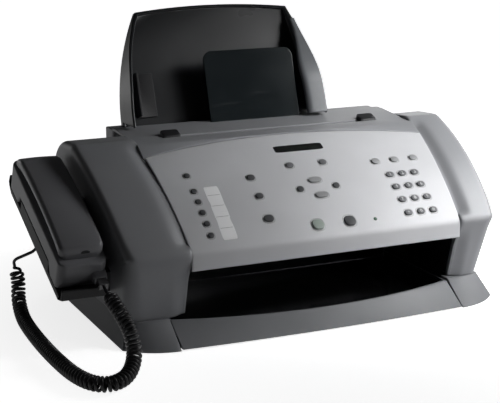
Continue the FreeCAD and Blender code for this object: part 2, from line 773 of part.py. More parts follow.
def make_document_support():
    body = new_body("document_support")
    low = "(deck_crest - support_foot)"
    top = "(deck_crest + support_rise)"
    slant = "(support_rise ^ 2 + support_lean ^ 2)"
    profile = [
        ("support_y", low),
        ("support_y + support_wall", low),
        ("support_y + support_wall", "deck_crest"),
        ("support_y + support_wall + support_lean", top),
        (
            f"support_y + support_lean + support_wall * (1 - support_rise ^ 2 / {slant})",
            f"{top} + support_wall * support_rise * support_lean / {slant}",
        ),
        ("support_y", "deck_crest"),
    ]
    pad(body, draw(body, "YZ", [profile], "support_x - support_width / 2"), "support_width")
    corner_height = number("deck_crest + support_rise")
    round_edges(
        body,
        lambda edge: edge.BoundBox.XLength < 1e-6
        and edge.BoundBox.YLength > 1
        and edge.BoundBox.ZMin > corner_height - 1e-6,
        "support_corner",
    )
    return part(body, "document_support")


# Rear cover with the well for the paper tray, and the block of sockets in it


WELL_LEFT = "(tray_x - tray_left_foot - tray_fit)"
WELL_RIGHT = "(tray_x + tray_right_foot + tray_fit)"


def make_rear_cover():
    body = new_body("rear_cover")
    left = "-(panel_left_rear + panel_gap - cover_joint)"
    right = "panel_right_rear + panel_gap - cover_joint"
    plan = rectangle(left, right, "deck_rear", "base_rear")
    pad(body, draw(body, "XY", [plan], "pan_height"), "rear_top - pan_height")
    inner_front = "deck_rear + rear_wall"
    inner_rear = "base_rear - rear_wall"
    well = rectangle(WELL_LEFT, WELL_RIGHT, inner_front, inner_rear)
    pocket(body, draw(body, "XY", [well], "rear_top"), "rear_top - well_floor")
    under = rectangle(f"{left} + rear_wall", f"{right} - rear_wall", "0", inner_rear)
    pocket(body, draw(body, "XY", [under], "pan_height"), "well_floor - rear_wall - pan_height", back=True)
    window = rectangle(
        "socket_x - socket_width / 2 - socket_fit",
        "socket_x + socket_width / 2 + socket_fit",
        "socket_height - socket_rise / 2 - socket_fit",
        "socket_height + socket_rise / 2 + socket_fit",
    )
    pocket(body, draw(body, "XZ", [window], "-base_rear"), "rear_wall", back=True)
    return part(body, "rear_cover")


def make_rear_sockets():
    body = new_body("rear_sockets")
    block = rectangle(
        "socket_x - socket_width / 2",
        "socket_x + socket_width / 2",
        "socket_height - socket_rise / 2",
        "socket_height + socket_rise / 2",
    )
    flange = rectangle(
        "socket_x - socket_width / 2 - socket_flange",
        "socket_x + socket_width / 2 + socket_flange",
        "socket_height - socket_rise / 2 - socket_flange",
        "socket_height + socket_rise / 2 + socket_flange",
    )
    pad(body, draw(body, "XZ", [block], "-base_rear"), "socket_depth")
    pad(body, draw(body, "XZ", [flange], "-(base_rear - rear_wall)"), "socket_flange")
    openings = []
    third = "socket_width / 3"
    for place, width, rise in (
        ("-1", "inlet_width", "inlet_rise"),
        ("0.15", "jack_width", "jack_rise"),
        ("1", "jack_width", "jack_rise"),
    ):
        middle = f"(socket_x + {place} * {third} * 0.9)"
        openings.append(
            rectangle(
                f"{middle} - {width} / 2",
                f"{middle} + {width} / 2",
                f"socket_height - {rise} / 2",
                f"socket_height + {rise} / 2",
            )
        )
    pocket(body, draw(body, "XZ", openings, "-base_rear"), "jack_depth", back=True)
    return part(body, "rear_sockets")


# Paper tray in its own leaning frame: Z up the tray, Y behind it


TRAY_Y = "(base_rear - rear_wall - tray_fit - (rear_top - well_floor) * tan(tray_lean))"


def lean_with_tray(thing):
    return tilt(thing, "-tray_lean", "tray_x", TRAY_Y, "well_floor")


def make_paper_tray():
    body = new_body("paper_tray")
    middle = "tray_length * 0.45"

    def outline(inset, foot):
        return [
            (f"-(tray_left_foot - {inset})", foot),
            (f"tray_right_foot - {inset}", foot),
            (f"tray_right_middle - {inset}", middle, "arc"),
            (f"tray_right_top - {inset}", f"tray_length - {inset}"),
            ("(tray_right_top - tray_left_top) / 2", f"tray_length + tray_arch - {inset}", "arc"),
            (f"-(tray_left_top - {inset})", f"tray_length - {inset}"),
            (f"-(tray_left_middle - {inset})", middle, "arc"),
        ]

    pad(body, draw(body, "XZ", [outline("0", "0")]), "wing_depth")
    hollow = draw(body, "XZ", [outline("tray_wall", "-tray_wall")], "tray_wall")
    pocket(body, hollow, "wing_depth", back=True)
    far = "-2 * wing_depth"
    level = "(deck_crest + wing_clear - well_floor)"
    below = [
        ("-tray_foot_depth", "-tray_length"),
        ("-tray_foot_depth", f"({level} - tray_foot_depth * sin(tray_lean)) / cos(tray_lean)"),
        (far, f"({level} + {far} * sin(tray_lean)) / cos(tray_lean)"),
        (far, "-tray_length"),
    ]
    above = [
        ("-wing_top", "tray_length + tray_arch"),
        ("-wing_top", "2 * tray_length"),
        (far, "2 * tray_length"),
        (far, "tray_length + tray_arch - (wing_slope * (2 * wing_depth - wing_top))"),
    ]
    pocket(body, draw(body, "YZ", [below, above]))
    return part(lean_with_tray(body), "paper_tray")


def make_width_guide():
    body = new_body("paper_width_guide")
    back = "-(tray_wall + guide_gap)"
    section = [
        ("guide_x", back),
        ("guide_x", f"{back} - guide_depth"),
        ("guide_x + guide_wall", f"{back} - guide_depth"),
        ("guide_x + guide_wall", f"{back} - guide_wall"),
        ("guide_x + guide_width", f"{back} - guide_wall"),
        ("guide_x + guide_width", back),
    ]
    pad(body, draw(body, "XY", [section], "guide_foot"), "guide_length")
    return part(lean_with_tray(body), "paper_width_guide")


# Control panel in its own sloping frame: Y up the panel from its front edge, Z out of it


def lie_on_panel(thing):
    return tilt(thing, "panel_slope", "0", "-panel_front", "panel_lip")


def panel_rise(up):
    """Height of the curved panel over its chord, a distance up the panel."""
    radius = "((panel_length ^ 2 / 4 + panel_crown ^ 2) / (2 * panel_crown))"
    return f"(panel_crown - {radius} + sqrt({radius} ^ 2 - (({up}) - panel_length / 2) ^ 2))"


def board_posts():
    low = "board_front + boss_inset"
    high = "board_rear - boss_inset"
    return [
        (x, y) for x in ("-(board_left - boss_inset)", "board_right - boss_inset") for y in (low, high)
    ]


def make_control_panel(keys, rooms):
    body = new_body("control_panel_shell")
    down = "fascia_height * sin(panel_slope)"
    drop = "fascia_height * cos(panel_slope)"
    inner_corner = "panel_wall * (cos(panel_slope) - (1 - sin(panel_slope)) * tan(panel_slope))"
    profile = [
        ("panel_length", "0"),
        ("panel_length / 2", "panel_crown", "arc"),
        ("0", "0"),
        (f"-{down}", f"-{drop}"),
        (f"panel_wall * cos(panel_slope) - {down}", f"-{drop} - panel_wall * sin(panel_slope)"),
        (inner_corner, "-panel_wall"),
        ("panel_length / 2", "panel_crown - panel_wall", "arc"),
        ("panel_length", "-panel_wall"),
    ]
    pad(body, draw(body, "YZ", [profile], "-2 * panel_left_rear"), "2 * panel_left_rear + 2 * panel_right_rear")
    plan = [
        ("-panel_left_front", f"-{down}"),
        ("panel_right_front", f"-{down}"),
        ("panel_right_front", "0"),
        ("panel_right_rear", "panel_corner"),
        ("(panel_right_rear - panel_left_rear) / 2", "panel_length - panel_gap", "arc"),
        ("-panel_left_rear", "panel_corner"),
        ("-panel_left_front", "0"),
    ]
    frame = rectangle("-3 * panel_left_rear", "3 * panel_right_rear", "-panel_length", "2 * panel_length")
    pocket(body, draw(body, "XY", [frame, plan]))
    posts = [{"middle": spot, "radius": "boss_radius"} for spot in board_posts()]
    lowest_rise = panel_rise("board_front + boss_inset")
    pad(body, draw(body, "XY", posts, "-board_drop"), f"board_drop + {lowest_rise} - panel_wall / 2")
    openings = [
        bevelled_block(
            name + "_opening", x, up, f"{half_width} + key_gap", f"{half_length} + key_gap",
            "-panel_length", "2 * panel_length",
        )
        for name, x, up, half_width, half_length in keys
    ]
    pierced = cut("control_panel", body, fuse("panel_openings", rooms + openings))
    return part(lie_on_panel(pierced), "control_panel")


def panel_skin(name, depth, lift="0"):
    """A slice of the panel's curved skin over its whole width, from its face down to a depth."""
    body = new_body(name)
    profile = [
        ("panel_length", f"-({lift})"),
        ("panel_length / 2", f"panel_crown - ({lift})", "arc"),
        ("0", f"-({lift})"),
        ("0", f"-({depth})"),
        ("panel_length / 2", f"panel_crown - ({depth})", "arc"),
        ("panel_length", f"-({depth})"),
    ]
    pad(body, draw(body, "YZ", [profile], "-panel_left_rear"), "panel_left_rear + panel_right_rear")
    return body


def skin_patch(name, skin, x, up, width, length):
    """The part of a skin inside a rectangle seen square to the panel."""
    block = box(
        name + "_area",
        (f"{x} - ({width}) / 2", f"{up} - ({length}) / 2", "-panel_length"),
        (width, length, "2 * panel_length"),
    )
    patch = doc.addObject("Part::Common", name)
    patch.Base = skin
    patch.Tool = block
    return patch


def make_panel_inserts():
    """The window and the label, and the openings in the panel that they lie in."""
    openings = []
    for name, wall, x, up, width, length in (
        ("display_window", "window_wall", "window_x", "window_u", "window_width", "window_length"),
        ("key_label_insert", "label_wall", "label_x", "label_u", "label_width", "label_length"),
    ):
        piece = skin_patch(name, panel_skin(name + "_skin", wall, "0"), x, up, width, length)
        part(lie_on_panel(piece), name)
        room = panel_skin(name + "_bed", wall, "-panel_wall")
        openings.append(
            skin_patch(
                name + "_room", room, x, up, f"{width} + 2 * insert_gap", f"{length} + 2 * insert_gap"
            )
        )
    return openings


def make_panel_board():
    body = new_body("panel_board")
    plan = rectangle("-board_left", "board_right", "board_front", "board_rear")
    pad(body, draw(body, "XY", [plan], "-board_drop"), "board_wall", back=True)
    return part(lie_on_panel(body), "panel_board")


# Keys: a cap with bevelled corners, a retaining plate under the panel and a stem


def key_list():
    """Name, place across and up the panel, half width and half length of every key."""
    keys = []
    for k in range(5):
        keys.append((f"one_touch_key_{k + 1}", "touch_x", f"touch_u + {4 - k} * touch_pitch", "touch_half", "touch_half"))
    keys.append(("answer_mode_key", "touch_x", "touch_small_u", "touch_half", "touch_half"))
    keys.append(("column_key_1", "column_x", "column_high_u", "column_half", "dial_slim"))
    keys.append(("column_key_2", "column_x", "column_mid_u", "column_half", "dial_slim"))
    keys.append(("column_key_3", "column_x", "column_low_u", "column_low_half", "column_half"))
    keys.append(("menu_key_left", "arrow_x - menu_reach", "menu_u", "column_half", "dial_slim"))
    keys.append(("menu_key_right", "arrow_x + menu_reach", "menu_u", "column_half", "dial_slim"))
    keys.append(("arrow_key_up", "arrow_x", "arrow_u + arrow_rise", "arrow_wide", "arrow_slim"))
    keys.append(("arrow_key_down", "arrow_x", "arrow_u - arrow_rise", "arrow_wide", "arrow_slim"))
    keys.append(("arrow_key_left", "arrow_x - arrow_side", "arrow_u", "arrow_slim", "arrow_slim"))
    keys.append(("arrow_key_right", "arrow_x + arrow_side", "arrow_u", "arrow_slim", "arrow_slim"))
    keys.append(("start_key", "arrow_x - action_reach", "action_u", "action_half", "action_half"))
    keys.append(("stop_key", "arrow_x + action_reach", "action_u", "action_half", "action_half"))
    for k in range(3):
        keys.append((f"function_key_{k + 1}", f"dial_x + {k - 1} * func_pitch", "func_u", "dial_half", "dial_slim"))
    for k, digit in enumerate(("1", "2", "3", "4", "5", "6", "7", "8", "9", "star", "0", "hash")):
        column, line = k % 3 - 1, 3 - k // 3
        keys.append(
            (
                f"dial_key_{digit}",
                f"dial_x + {column} * dial_pitch_x",
                f"dial_u + {line} * dial_pitch_u",
                "dial_half",
                "dial_slim",
            )
        )
    return keys


def bevelled_block(name, x, up, half_width, half_length, low, height):
    """An upright block with eight flats: a box whose corners are cut off by a second, turned box.

    With half sides a and b and corners cut back by c, the turned box has the half diagonal a + b - c.
    """
    block = box(
        name + "_block",
        (f"{x} - ({half_width})", f"{up} - ({half_length})", low),
        (f"2 * ({half_width})", f"2 * ({half_length})", height),
    )
    reach = f"({half_width} + ({half_length}) * (1 - key_bevel))"
    turned = doc.addObject("Part::Box", name + "_turned")
    turned.Placement = Placement(Vector(0, 0, 0), Rotation(Vector(0, 0, 1), 45))
    bind(turned, Length=f"{reach} * sqrt(2)", Width=f"{reach} * sqrt(2)", Height=height)
    shift(turned, x, f"{up} - {reach}", low)
    shared = doc.addObject("Part::Common", name)
    shared.Base = block
    shared.Tool = turned
    return shared


def make_key(name, x, up, half_width, half_length):
    plate_top = f"({panel_rise(up)} - panel_wall - key_play)"
    plate_low = f"({plate_top} - key_foot_wall)"
    cap_height = "key_foot_wall + key_play + panel_wall + key_proud"
    cap = bevelled_block(name + "_cap", x, up, half_width, half_length, plate_low, cap_height)
    plate = box(
        name + "_plate",
        (f"{x} - {half_width} - key_foot", f"{up} - {half_length} - key_foot", plate_low),
        (f"2 * ({half_width} + key_foot)", f"2 * ({half_length} + key_foot)", "key_foot_wall"),
    )
    stem_low = "(key_travel + insert_gap - board_drop)"
    stem = box(
        name + "_stem",
        (f"{x} - key_stem / 2", f"{up} - key_stem / 2", stem_low),
        ("key_stem", "key_stem", f"{plate_top} - {stem_low}"),
    )
    part(lie_on_panel(fuse(name, [cap, plate, stem])), name)


# Printing works inside: bent frame, carriage on its rod, feed roller, gears and motor


GEAR_TEETH = 30
PINION_TEETH = 12
GEAR_REACH = f"(gear_module * {GEAR_TEETH + PINION_TEETH} / 2 + gear_backlash)"
MOTOR_Y = f"(shaft_y + {GEAR_REACH} * cos(gear_turn))"
MOTOR_Z = f"(shaft_height + {GEAR_REACH} * sin(gear_turn))"


def make_print_frame():
    body = new_body("print_frame")
    side = [
        ("frame_front", "frame_floor"),
        ("frame_leg", "frame_floor"),
        ("frame_leg", "pan_floor"),
        ("frame_rear", "pan_floor"),
        ("frame_rear", "frame_top"),
        ("frame_front", "frame_top"),
    ]
    pad(body, draw(body, "YZ", [side], "-frame_half"), "2 * frame_half")
    inside = "(frame_half - frame_sheet)"
    above = rectangle(f"-{inside}", inside, "frame_floor + frame_sheet", "2 * frame_top")
    below = rectangle(f"-{inside}", inside, "0", "frame_floor")
    pocket(body, draw(body, "XZ", [above, below]))
    bores = [
        {"middle": ("rod_y", "rod_height"), "radius": "rod_radius"},
        {"middle": ("shaft_y", "shaft_height"), "radius": "shaft_radius + run_gap"},
    ]
    pocket(body, draw(body, "YZ", bores))
    motor_hole = {"middle": (MOTOR_Y, MOTOR_Z), "radius": "motor_shaft + insert_gap"}
    pocket(body, draw(body, "YZ", [motor_hole], "frame_half"), "2 * frame_sheet")
    return part(body, "print_frame")


def make_carriage():
    rod = cylinder_along_x("carriage_rod", "rod_radius", "-frame_half", "2 * frame_half", "rod_y", "rod_height")
    part(rod, "carriage_rod")
    body = new_body("print_carriage")
    left = "(carriage_x - carriage_width / 2)"
    right = "(carriage_x + carriage_width / 2)"
    section = [
        ("carriage_front", "carriage_low"),
        ("carriage_rear", "carriage_low"),
        ("carriage_rear", "carriage_top - bay_depth"),
        ("rod_y", "carriage_top"),
        ("carriage_front", "carriage_top"),
    ]
    pad(body, draw(body, "YZ", [section], left), "carriage_width")
    bore = {"middle": ("rod_y", "rod_height"), "radius": "rod_radius + run_gap"}
    pocket(body, draw(body, "YZ", [bore]))
    middle = "carriage_x"
    front = "carriage_front + bay_wall"
    rear = "rod_y - rod_radius - bay_wall"
    bays = [
        rectangle(f"{left} + bay_wall", f"{middle} - bay_wall / 2", front, rear),
        rectangle(f"{middle} + bay_wall / 2", f"{right} - bay_wall", front, rear),
    ]
    pocket(body, draw(body, "XY", bays, "carriage_top"), "carriage_top - carriage_low - bay_wall")
    return part(body, "print_carriage")


def gear_face(teeth, module, turn):
    """A spur gear's face; each flank is the straight line nearest to the involute at the pitch circle."""
    pitch_radius = module * teeth / 2
    root_radius = pitch_radius - 1.25 * module
    tip_radius = pitch_radius + 0.9 * module
    half_pitch_tooth = math.pi / (2 * teeth) * 0.88
    slant = math.tan(math.radians(20)) / pitch_radius

    def corner(radius, middle, side):
        angle = middle + side * (half_pitch_tooth - (radius - pitch_radius) * slant)
        return Vector(0, radius * math.cos(angle), radius * math.sin(angle))

    corners = []
    for tooth in range(teeth):
        middle = turn + 2 * math.pi * tooth / teeth
        corners.append(corner(root_radius, middle, -1))
        corners.append(corner(tip_radius, middle, -1))
        corners.append(corner(tip_radius, middle, 1))
        corners.append(corner(root_radius, middle, 1))
    return Part.Face(Part.makePolygon(corners + corners[:1]))


def make_paper_feed():
    start = "(frame_half + gear_side)"
    along = number("gear_turn") * math.pi / 180
    wheel = doc.addObject("Part::Feature", "feed_wheel")
    wheel.Shape = gear_face(GEAR_TEETH, number("gear_module"), along).extrude(Vector(number("gear_wide"), 0, 0))
    shift(wheel, start, "shaft_y", "shaft_height")
    length = f"(2 * frame_half + shaft_end + gear_side + gear_wide)"
    shaft = cylinder_along_x(
        "feed_shaft", "shaft_radius", "-(frame_half + shaft_end)", length, "shaft_y", "shaft_height"
    )
    sleeves = [
        cylinder_along_x(
            "feed_sleeve",
            "roller_radius",
            f"{k} * roller_reach - roller_length / 2",
            "roller_length",
            "shaft_y",
            "shaft_height",
        )
        for k in (-1, 1)
    ]
    part(fuse("feed_roller", [shaft, wheel] + sleeves), "feed_roller")
    pinion = doc.addObject("Part::Feature", "pinion")
    opposite = along + math.pi + math.pi / PINION_TEETH
    pinion.Shape = gear_face(PINION_TEETH, number("gear_module"), opposite).extrude(
        Vector(number("gear_wide"), 0, 0)
    )
    shift(pinion, start, MOTOR_Y, MOTOR_Z)
    hole = cylinder_along_x("pinion_bore", "motor_shaft + run_gap", start, "gear_wide", MOTOR_Y, MOTOR_Z)
    part(cut("drive_gear", pinion, hole), "drive_gear")
    inside = "(frame_half - frame_sheet)"
    can = cylinder_along_x("motor_can", "motor_radius", f"{inside} - motor_length", "motor_length", MOTOR_Y, MOTOR_Z)
    stub = cylinder_along_x(
        "motor_stub", "motor_shaft", inside, "frame_sheet + gear_side + gear_wide", MOTOR_Y, MOTOR_Z
    )
    part(fuse("drive_motor", [can, stub]), "drive_motor")


# Handset, its cradle, the hook plunger and the plug, in the handset's sloping frame


def lie_with_handset(thing):
    return tilt(thing, "handset_slope", "handset_x", "handset_y", "handset_z")


def rounded_plan(half_width, half_length, radius):
    """A rectangle with rounded corners."""
    inner = f"{radius} * 0.293"
    points = []
    for x, y, turn in ((1, -1, 0), (1, 1, 1), (-1, 1, 0), (-1, -1, 1)):
        along_x = (f"{x} * ({half_width} - {radius})", f"{y} * ({half_length})")
        along_y = (f"{x} * ({half_width})", f"{y} * ({half_length} - {radius})")
        bend = (f"{x} * ({half_width} - {inner})", f"{y} * ({half_length} - {inner})", "arc")
        points += [along_y, bend, along_x] if turn else [along_x, bend, along_y]
    return points


def make_handset():
    plan = rounded_plan("handset_half_width", "handset_half", "handset_corner")
    around = rectangle("-2 * handset_half", "2 * handset_half", "-handset_half", "handset_half")

    face = new_body("handset_face_shell")
    pad(face, draw(face, "XY", [plan], "-cup_drop"), "cup_drop + shell_split")
    cup_end = "(handset_half - cup_length)"
    high = "2 * shell_split"
    profile = [
        ("-(handset_half + cup_fit)", high),
        ("-handset_half", "-cup_drop / 2"),
        ("-(handset_half - cup_drop / 2)", "-(cup_drop + cup_fit)"),
        (f"-({cup_end} + cup_drop)", "-(cup_drop + cup_fit)"),
        (f"-{cup_end}", "grip_rise"),
        (cup_end, "grip_rise"),
        (f"{cup_end} + cup_drop", "-(cup_drop + cup_fit)"),
        ("handset_half - cup_drop / 2", "-(cup_drop + cup_fit)"),
        ("handset_half", "-cup_drop / 2"),
        ("handset_half + cup_fit", high),
    ]
    pocket(face, draw(face, "YZ", [around, profile]))
    part(lie_with_handset(face), "handset_face_shell")

    back = new_body("handset_back_shell")
    crest = "(brow_rise + brow_crown)"
    pad(back, draw(back, "XY", [plan], "shell_split"), f"{crest} + cup_fit - shell_split")
    brow = "(handset_half - brow_length)"
    shoulder = "(shell_split + back_edge)"
    top = [
        ("-(handset_half + cup_fit)", "0"),
        ("-(handset_half + cup_fit)", shoulder),
        (f"-(handset_half - brow_length * 0.36)", f"{shoulder} * 0.42 + brow_rise * 0.58", "arc"),
        (f"-{brow}", "brow_rise"),
        ("0", crest, "arc"),
        (brow, "brow_rise"),
        (f"handset_half - brow_length * 0.36", f"{shoulder} * 0.42 + brow_rise * 0.58", "arc"),
        ("handset_half + cup_fit", shoulder),
        ("handset_half + cup_fit", "0"),
    ]
    pocket(back, draw(back, "YZ", [around, top]))
    corners = []
    for side in (-1, 1):
        corners.append(
            [
                (f"{side} * handset_half_width", f"{crest} - back_round"),
                (
                    f"{side} * (handset_half_width - back_round * 0.293)",
                    f"{crest} - back_round * 0.293",
                    "arc",
                ),
                (f"{side} * (handset_half_width - back_round)", crest),
                (f"{side} * (handset_half_width - back_round)", f"{crest} + back_round"),
                (f"{side} * (handset_half_width + back_round)", f"{crest} + back_round"),
                (f"{side} * (handset_half_width + back_round)", f"{crest} - back_round"),
            ]
        )
    pocket(back, draw(back, "XZ", corners))
    for side in ("-1", "1"):
        groove = [
            ("-groove_half", "shell_split"),
            ("groove_half", "shell_split"),
            ("groove_half - groove_rise", "shell_split + groove_rise"),
            ("-(groove_half - groove_rise)", "shell_split + groove_rise"),
        ]
        lift = f"{side} * (handset_half_width - groove_depth)"
        pocket(back, draw(back, "YZ", [groove], lift), "groove_depth", back=(side == "1"))
    part(lie_with_handset(back), "handset_back_shell")

    plug = new_body("handset_plug")
    plan = rectangle(
        "plug_x - plug_width / 2",
        "plug_x + plug_width / 2",
        "-(handset_half + plug_length)",
        "-handset_half",
    )
    pad(plug, draw(plug, "XY", [plan], "plug_z - plug_rise / 2"), "plug_rise")
    part(lie_with_handset(plug), "handset_plug")


def make_cradle(left_cover_outer):
    body = new_body("cradle_shell")
    cup_end = "(handset_half - cup_length - cup_fit)"
    far = "(handset_half + cup_fit)"
    bed = "-(cup_drop + seat_gap)"
    profile = [
        ("-cradle_half", "cradle_rim"),
        ("-(cradle_half + cradle_rim)", "-cradle_low / 2"),
        ("-(cradle_half - cradle_bevel)", "-cradle_low"),
        ("cradle_half - cradle_bevel", "-cradle_low"),
        ("cradle_half + cradle_rim", "-cradle_low / 2"),
        ("cradle_half", "cradle_rim"),
        (far, "cradle_rim"),
        (far, bed),
        (cup_end, bed),
        (cup_end, "cradle_rim"),
        (f"-{cup_end}", "cradle_rim"),
        (f"-{cup_end}", bed),
        (f"-{far}", bed),
        (f"-{far}", "cradle_rim"),
    ]
    pad(body, draw(body, "YZ", [profile]), "2 * cradle_half_width", middle=True)
    hook = rectangle(
        "-(hook_width / 2 + hook_fit)",
        "hook_width / 2 + hook_fit",
        "hook_y - hook_length / 2 - hook_fit",
        "hook_y + hook_length / 2 + hook_fit",
    )
    pocket(body, draw(body, "XY", [hook]))
    arm = box(
        "cradle_arm",
        ("arm_start", "-arm_half", "-arm_low"),
        ("-handset_x - cover_foot + cover_wall - arm_start", "2 * arm_half", "arm_low - cup_drop - cradle_rim"),
    )
    shelf = lie_with_handset(fuse("cradle_with_arm", [body, arm]))
    part(cut("handset_cradle", shelf, left_cover_outer), "handset_cradle")

    plunger = new_body("hook_plunger")
    plan = rectangle(
        "-hook_width / 2", "hook_width / 2", "hook_y - hook_length / 2", "hook_y + hook_length / 2"
    )
    pad(plunger, draw(plunger, "XY", [plan], "-cup_drop - hook_fit"), "cradle_low - cup_drop", back=True)
    part(lie_with_handset(plunger), "hook_plunger")


# Curly cord: a wire wound about a smooth route, from the handset to the jack under its cradle


def handset_point(x, y, z):
    """A point of the handset's frame, on the table's axes."""
    local = Vector(number(x), number(y), number(z))
    turn = Rotation(Vector(1, 0, 0), number("handset_slope"))
    return turn.multVec(local) + Vector(number("handset_x"), number("handset_y"), number("handset_z"))


def cord_route():
    """The route's control points: straight out of both plugs, and the list in between."""
    out = handset_point("plug_x", "-(handset_half + plug_length)", "plug_z")
    further = handset_point("plug_x", "-(handset_half + plug_length + wire_lead)", "plug_z")
    jack = handset_point("jack_x", "jack_y", "-(cradle_low + plug_length)")
    nearer = handset_point("jack_x", "jack_y", "-(cradle_low + plug_length + wire_lead)")
    points = [out, further] + [Vector(*point) for point in CORD_ROUTE] + [nearer, jack]
    curve = Part.BSplineCurve()
    inner = len(points) - 3
    curve.buildFromPolesMultsKnots(points, [3] + [1] * inner + [3], list(range(inner + 2)), False, 2)
    return curve


def smooth(share):
    share = max(0.0, min(1.0, share))
    return share * share * (3 - 2 * share)


def wound_points(curve, step_count):
    """Points and directions of the wire: e = cos(a) n + sin(a) b turns about the route.

    The wire lies at c(s) + r(s) e(s). With n carried along the route without twist, its direction is
    t (1 - r k.e) + r' e + r a' (-sin(a) n + cos(a) b), where k is the route's curvature.
    """
    length = curve.length()
    first = number("curl_start")
    last = length - number("curl_end")
    swell = number("curl_swell")
    full = number("curl_radius")
    turns = round((last - first) / number("curl_pitch"))
    rate = 2 * math.pi * turns / (last - first)

    def route_at(place):
        parameter = curve.parameterAtDistance(place)
        tangent = Vector(*curve.tangent(parameter)[0])
        return curve.value(parameter), tangent.normalize()

    def radius_at(place):
        return full * smooth((place - first) / swell) * smooth((last - place) / swell)

    plain_step = number("wire_lead") / 2
    lead_in = [0.0, number("wire_radius") * 2]
    coil = [first + (last - first) * k / (turns * step_count) for k in range(turns * step_count + 1)]
    reaches = max(2, round((length - last) / plain_step))
    lead_out = [last + (length - last) * k / reaches for k in range(1, reaches + 1)]
    normal = Vector(1, 0, 0)
    found = []
    tiny = 0.05
    for place in lead_in + coil + lead_out:
        middle, tangent = route_at(place)
        normal = (normal - tangent * normal.dot(tangent)).normalize()
        side = tangent.cross(normal)
        before = route_at(max(0.0, place - tiny))[1]
        after = route_at(min(length, place + tiny))[1]
        bend = (after - before) * (1 / (2 * tiny))
        angle = rate * (place - first)
        outward = normal * math.cos(angle) + side * math.sin(angle)
        around = side * math.cos(angle) - normal * math.sin(angle)
        radius = radius_at(place)
        growth = (radius_at(place + tiny) - radius_at(place - tiny)) / (2 * tiny)
        heading = tangent * (1 - radius * bend.dot(outward)) + outward * growth + around * (radius * rate)
        found.append((middle + outward * radius, heading.normalize()))
    return found, turns


def arc_edge(start, corner, end):
    """The arc from start to end whose tangents meet at the corner, or a line where they are straight."""
    chord = end - start
    half = chord.Length / 2
    middle = (start + end) * 0.5
    toward = corner - middle
    if toward.Length < 1e-5:
        return Part.LineSegment(start, end).toShape()
    lean = math.atan2(toward.Length, half)
    apex = middle + toward.normalize() * (half * math.tan(lean / 2))
    return Part.Arc(start, apex, end).toShape()


def biarc(start, start_way, end, end_way):
    """Two arcs that join two points with given directions and meet smoothly."""
    reach = end - start
    both = start_way + end_way
    square = 2 * (1 - start_way.dot(end_way))
    linear = 2 * reach.dot(both)
    if square < 1e-9:
        size = reach.dot(reach) / linear
    else:
        size = (math.sqrt(linear**2 + 4 * square * reach.dot(reach)) - linear) / (2 * square)
    first_corner = start + start_way * size
    last_corner = end - end_way * size
    joint = (first_corner + last_corner) * 0.5
    return [arc_edge(start, first_corner, joint), arc_edge(joint, last_corner, end)]


def least_gap(curve, wire_radius):
    """Smallest clear distance between the wire and itself, on points of the wound line."""
    per_turn = 20
    points = [point for point, heading in wound_points(curve, per_turn)[0]]
    near = per_turn // 2
    gap = min(
        points[i].distanceToPoint(points[j])
        for i in range(len(points))
        for j in range(i + near, min(len(points), i + 2 * per_turn))
    )
    return gap - 2 * wire_radius


def make_cord():
    curve = cord_route()
    wire_radius = number("wire_radius")
    points, turns = wound_points(curve, 2)
    edges = []
    for (start, start_way), (end, end_way) in zip(points, points[1:]):
        edges += biarc(start, start_way, end, end_way)
    spine = Part.Wire(edges)
    start, heading = points[0]
    across = heading.cross(Vector(0, 0, 1)).normalize()
    upward = across.cross(heading)
    corners = []
    for k in range(CORD_SIDES):
        angle = 2 * math.pi * (k + 0.5) / CORD_SIDES
        corners.append(start + across * (wire_radius * math.cos(angle)) + upward * (wire_radius * math.sin(angle)))
    section = Part.makePolygon(corners + corners[:1])
    cord = doc.addObject("Part::Feature", "handset_cord")
    cord.Shape = spine.makePipeShell([section], True, False)
    print(f"cord: route {curve.length():.0f} mm, {turns} curls, least gap {least_gap(curve, wire_radius):.2f} mm")
    part(cord, "handset_cord")

    plug = new_body("base_plug")
    plan = rectangle(
        "jack_x - plug_width / 2", "jack_x + plug_width / 2", "jack_y - plug_rise / 2", "jack_y + plug_rise / 2"
    )
    pad(plug, draw(plug, "XY", [plan], "-cradle_low"), "plug_length", back=True)
    part(lie_with_handset(plug), "base_plug")


# Build every piece


def build():
    make_base_pan()
    make_rubber_feet()
    make_output_tray()
    left_cover, left_outer = make_side_cover(
        "left_side_cover", -1, "panel_left_front + panel_gap", "panel_left_rear + panel_gap"
    )
    make_side_cover("right_side_cover", 1, "panel_right_front + panel_gap", "panel_right_rear + panel_gap")
    make_top_deck()
    make_document_support()
    make_rear_cover()
    make_rear_sockets()
    make_paper_tray()
    make_width_guide()
    keys = key_list()
    make_control_panel(keys, make_panel_inserts())
    make_panel_board()
    for key in keys:
        make_key(*key)
    make_print_frame()
    make_carriage()
    make_paper_feed()
    make_handset()
    make_cradle(left_outer)
    make_cord()


def check_and_write():
    """Every object up to date, every piece a valid shape, then one file for each piece."""
    doc.recompute()
    for thing in doc.Objects:
        if "Invalid" in thing.State or "Error" in thing.State:
            raise RuntimeError(f"{thing.Name} did not build: {thing.State}")
    os.makedirs("parts", exist_ok=True)
    for thing in PARTS:
        shape = thing.Shape
        if shape.isNull() or not shape.isValid() or not shape.Solids:
            raise RuntimeError(f"{thing.Label} is not a valid solid")
        shape.exportStep(f"parts/{thing.Label}.step")
    print(f"{len(PARTS)} pieces")


build()
check_and_write()
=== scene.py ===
import itertools
import json
import math

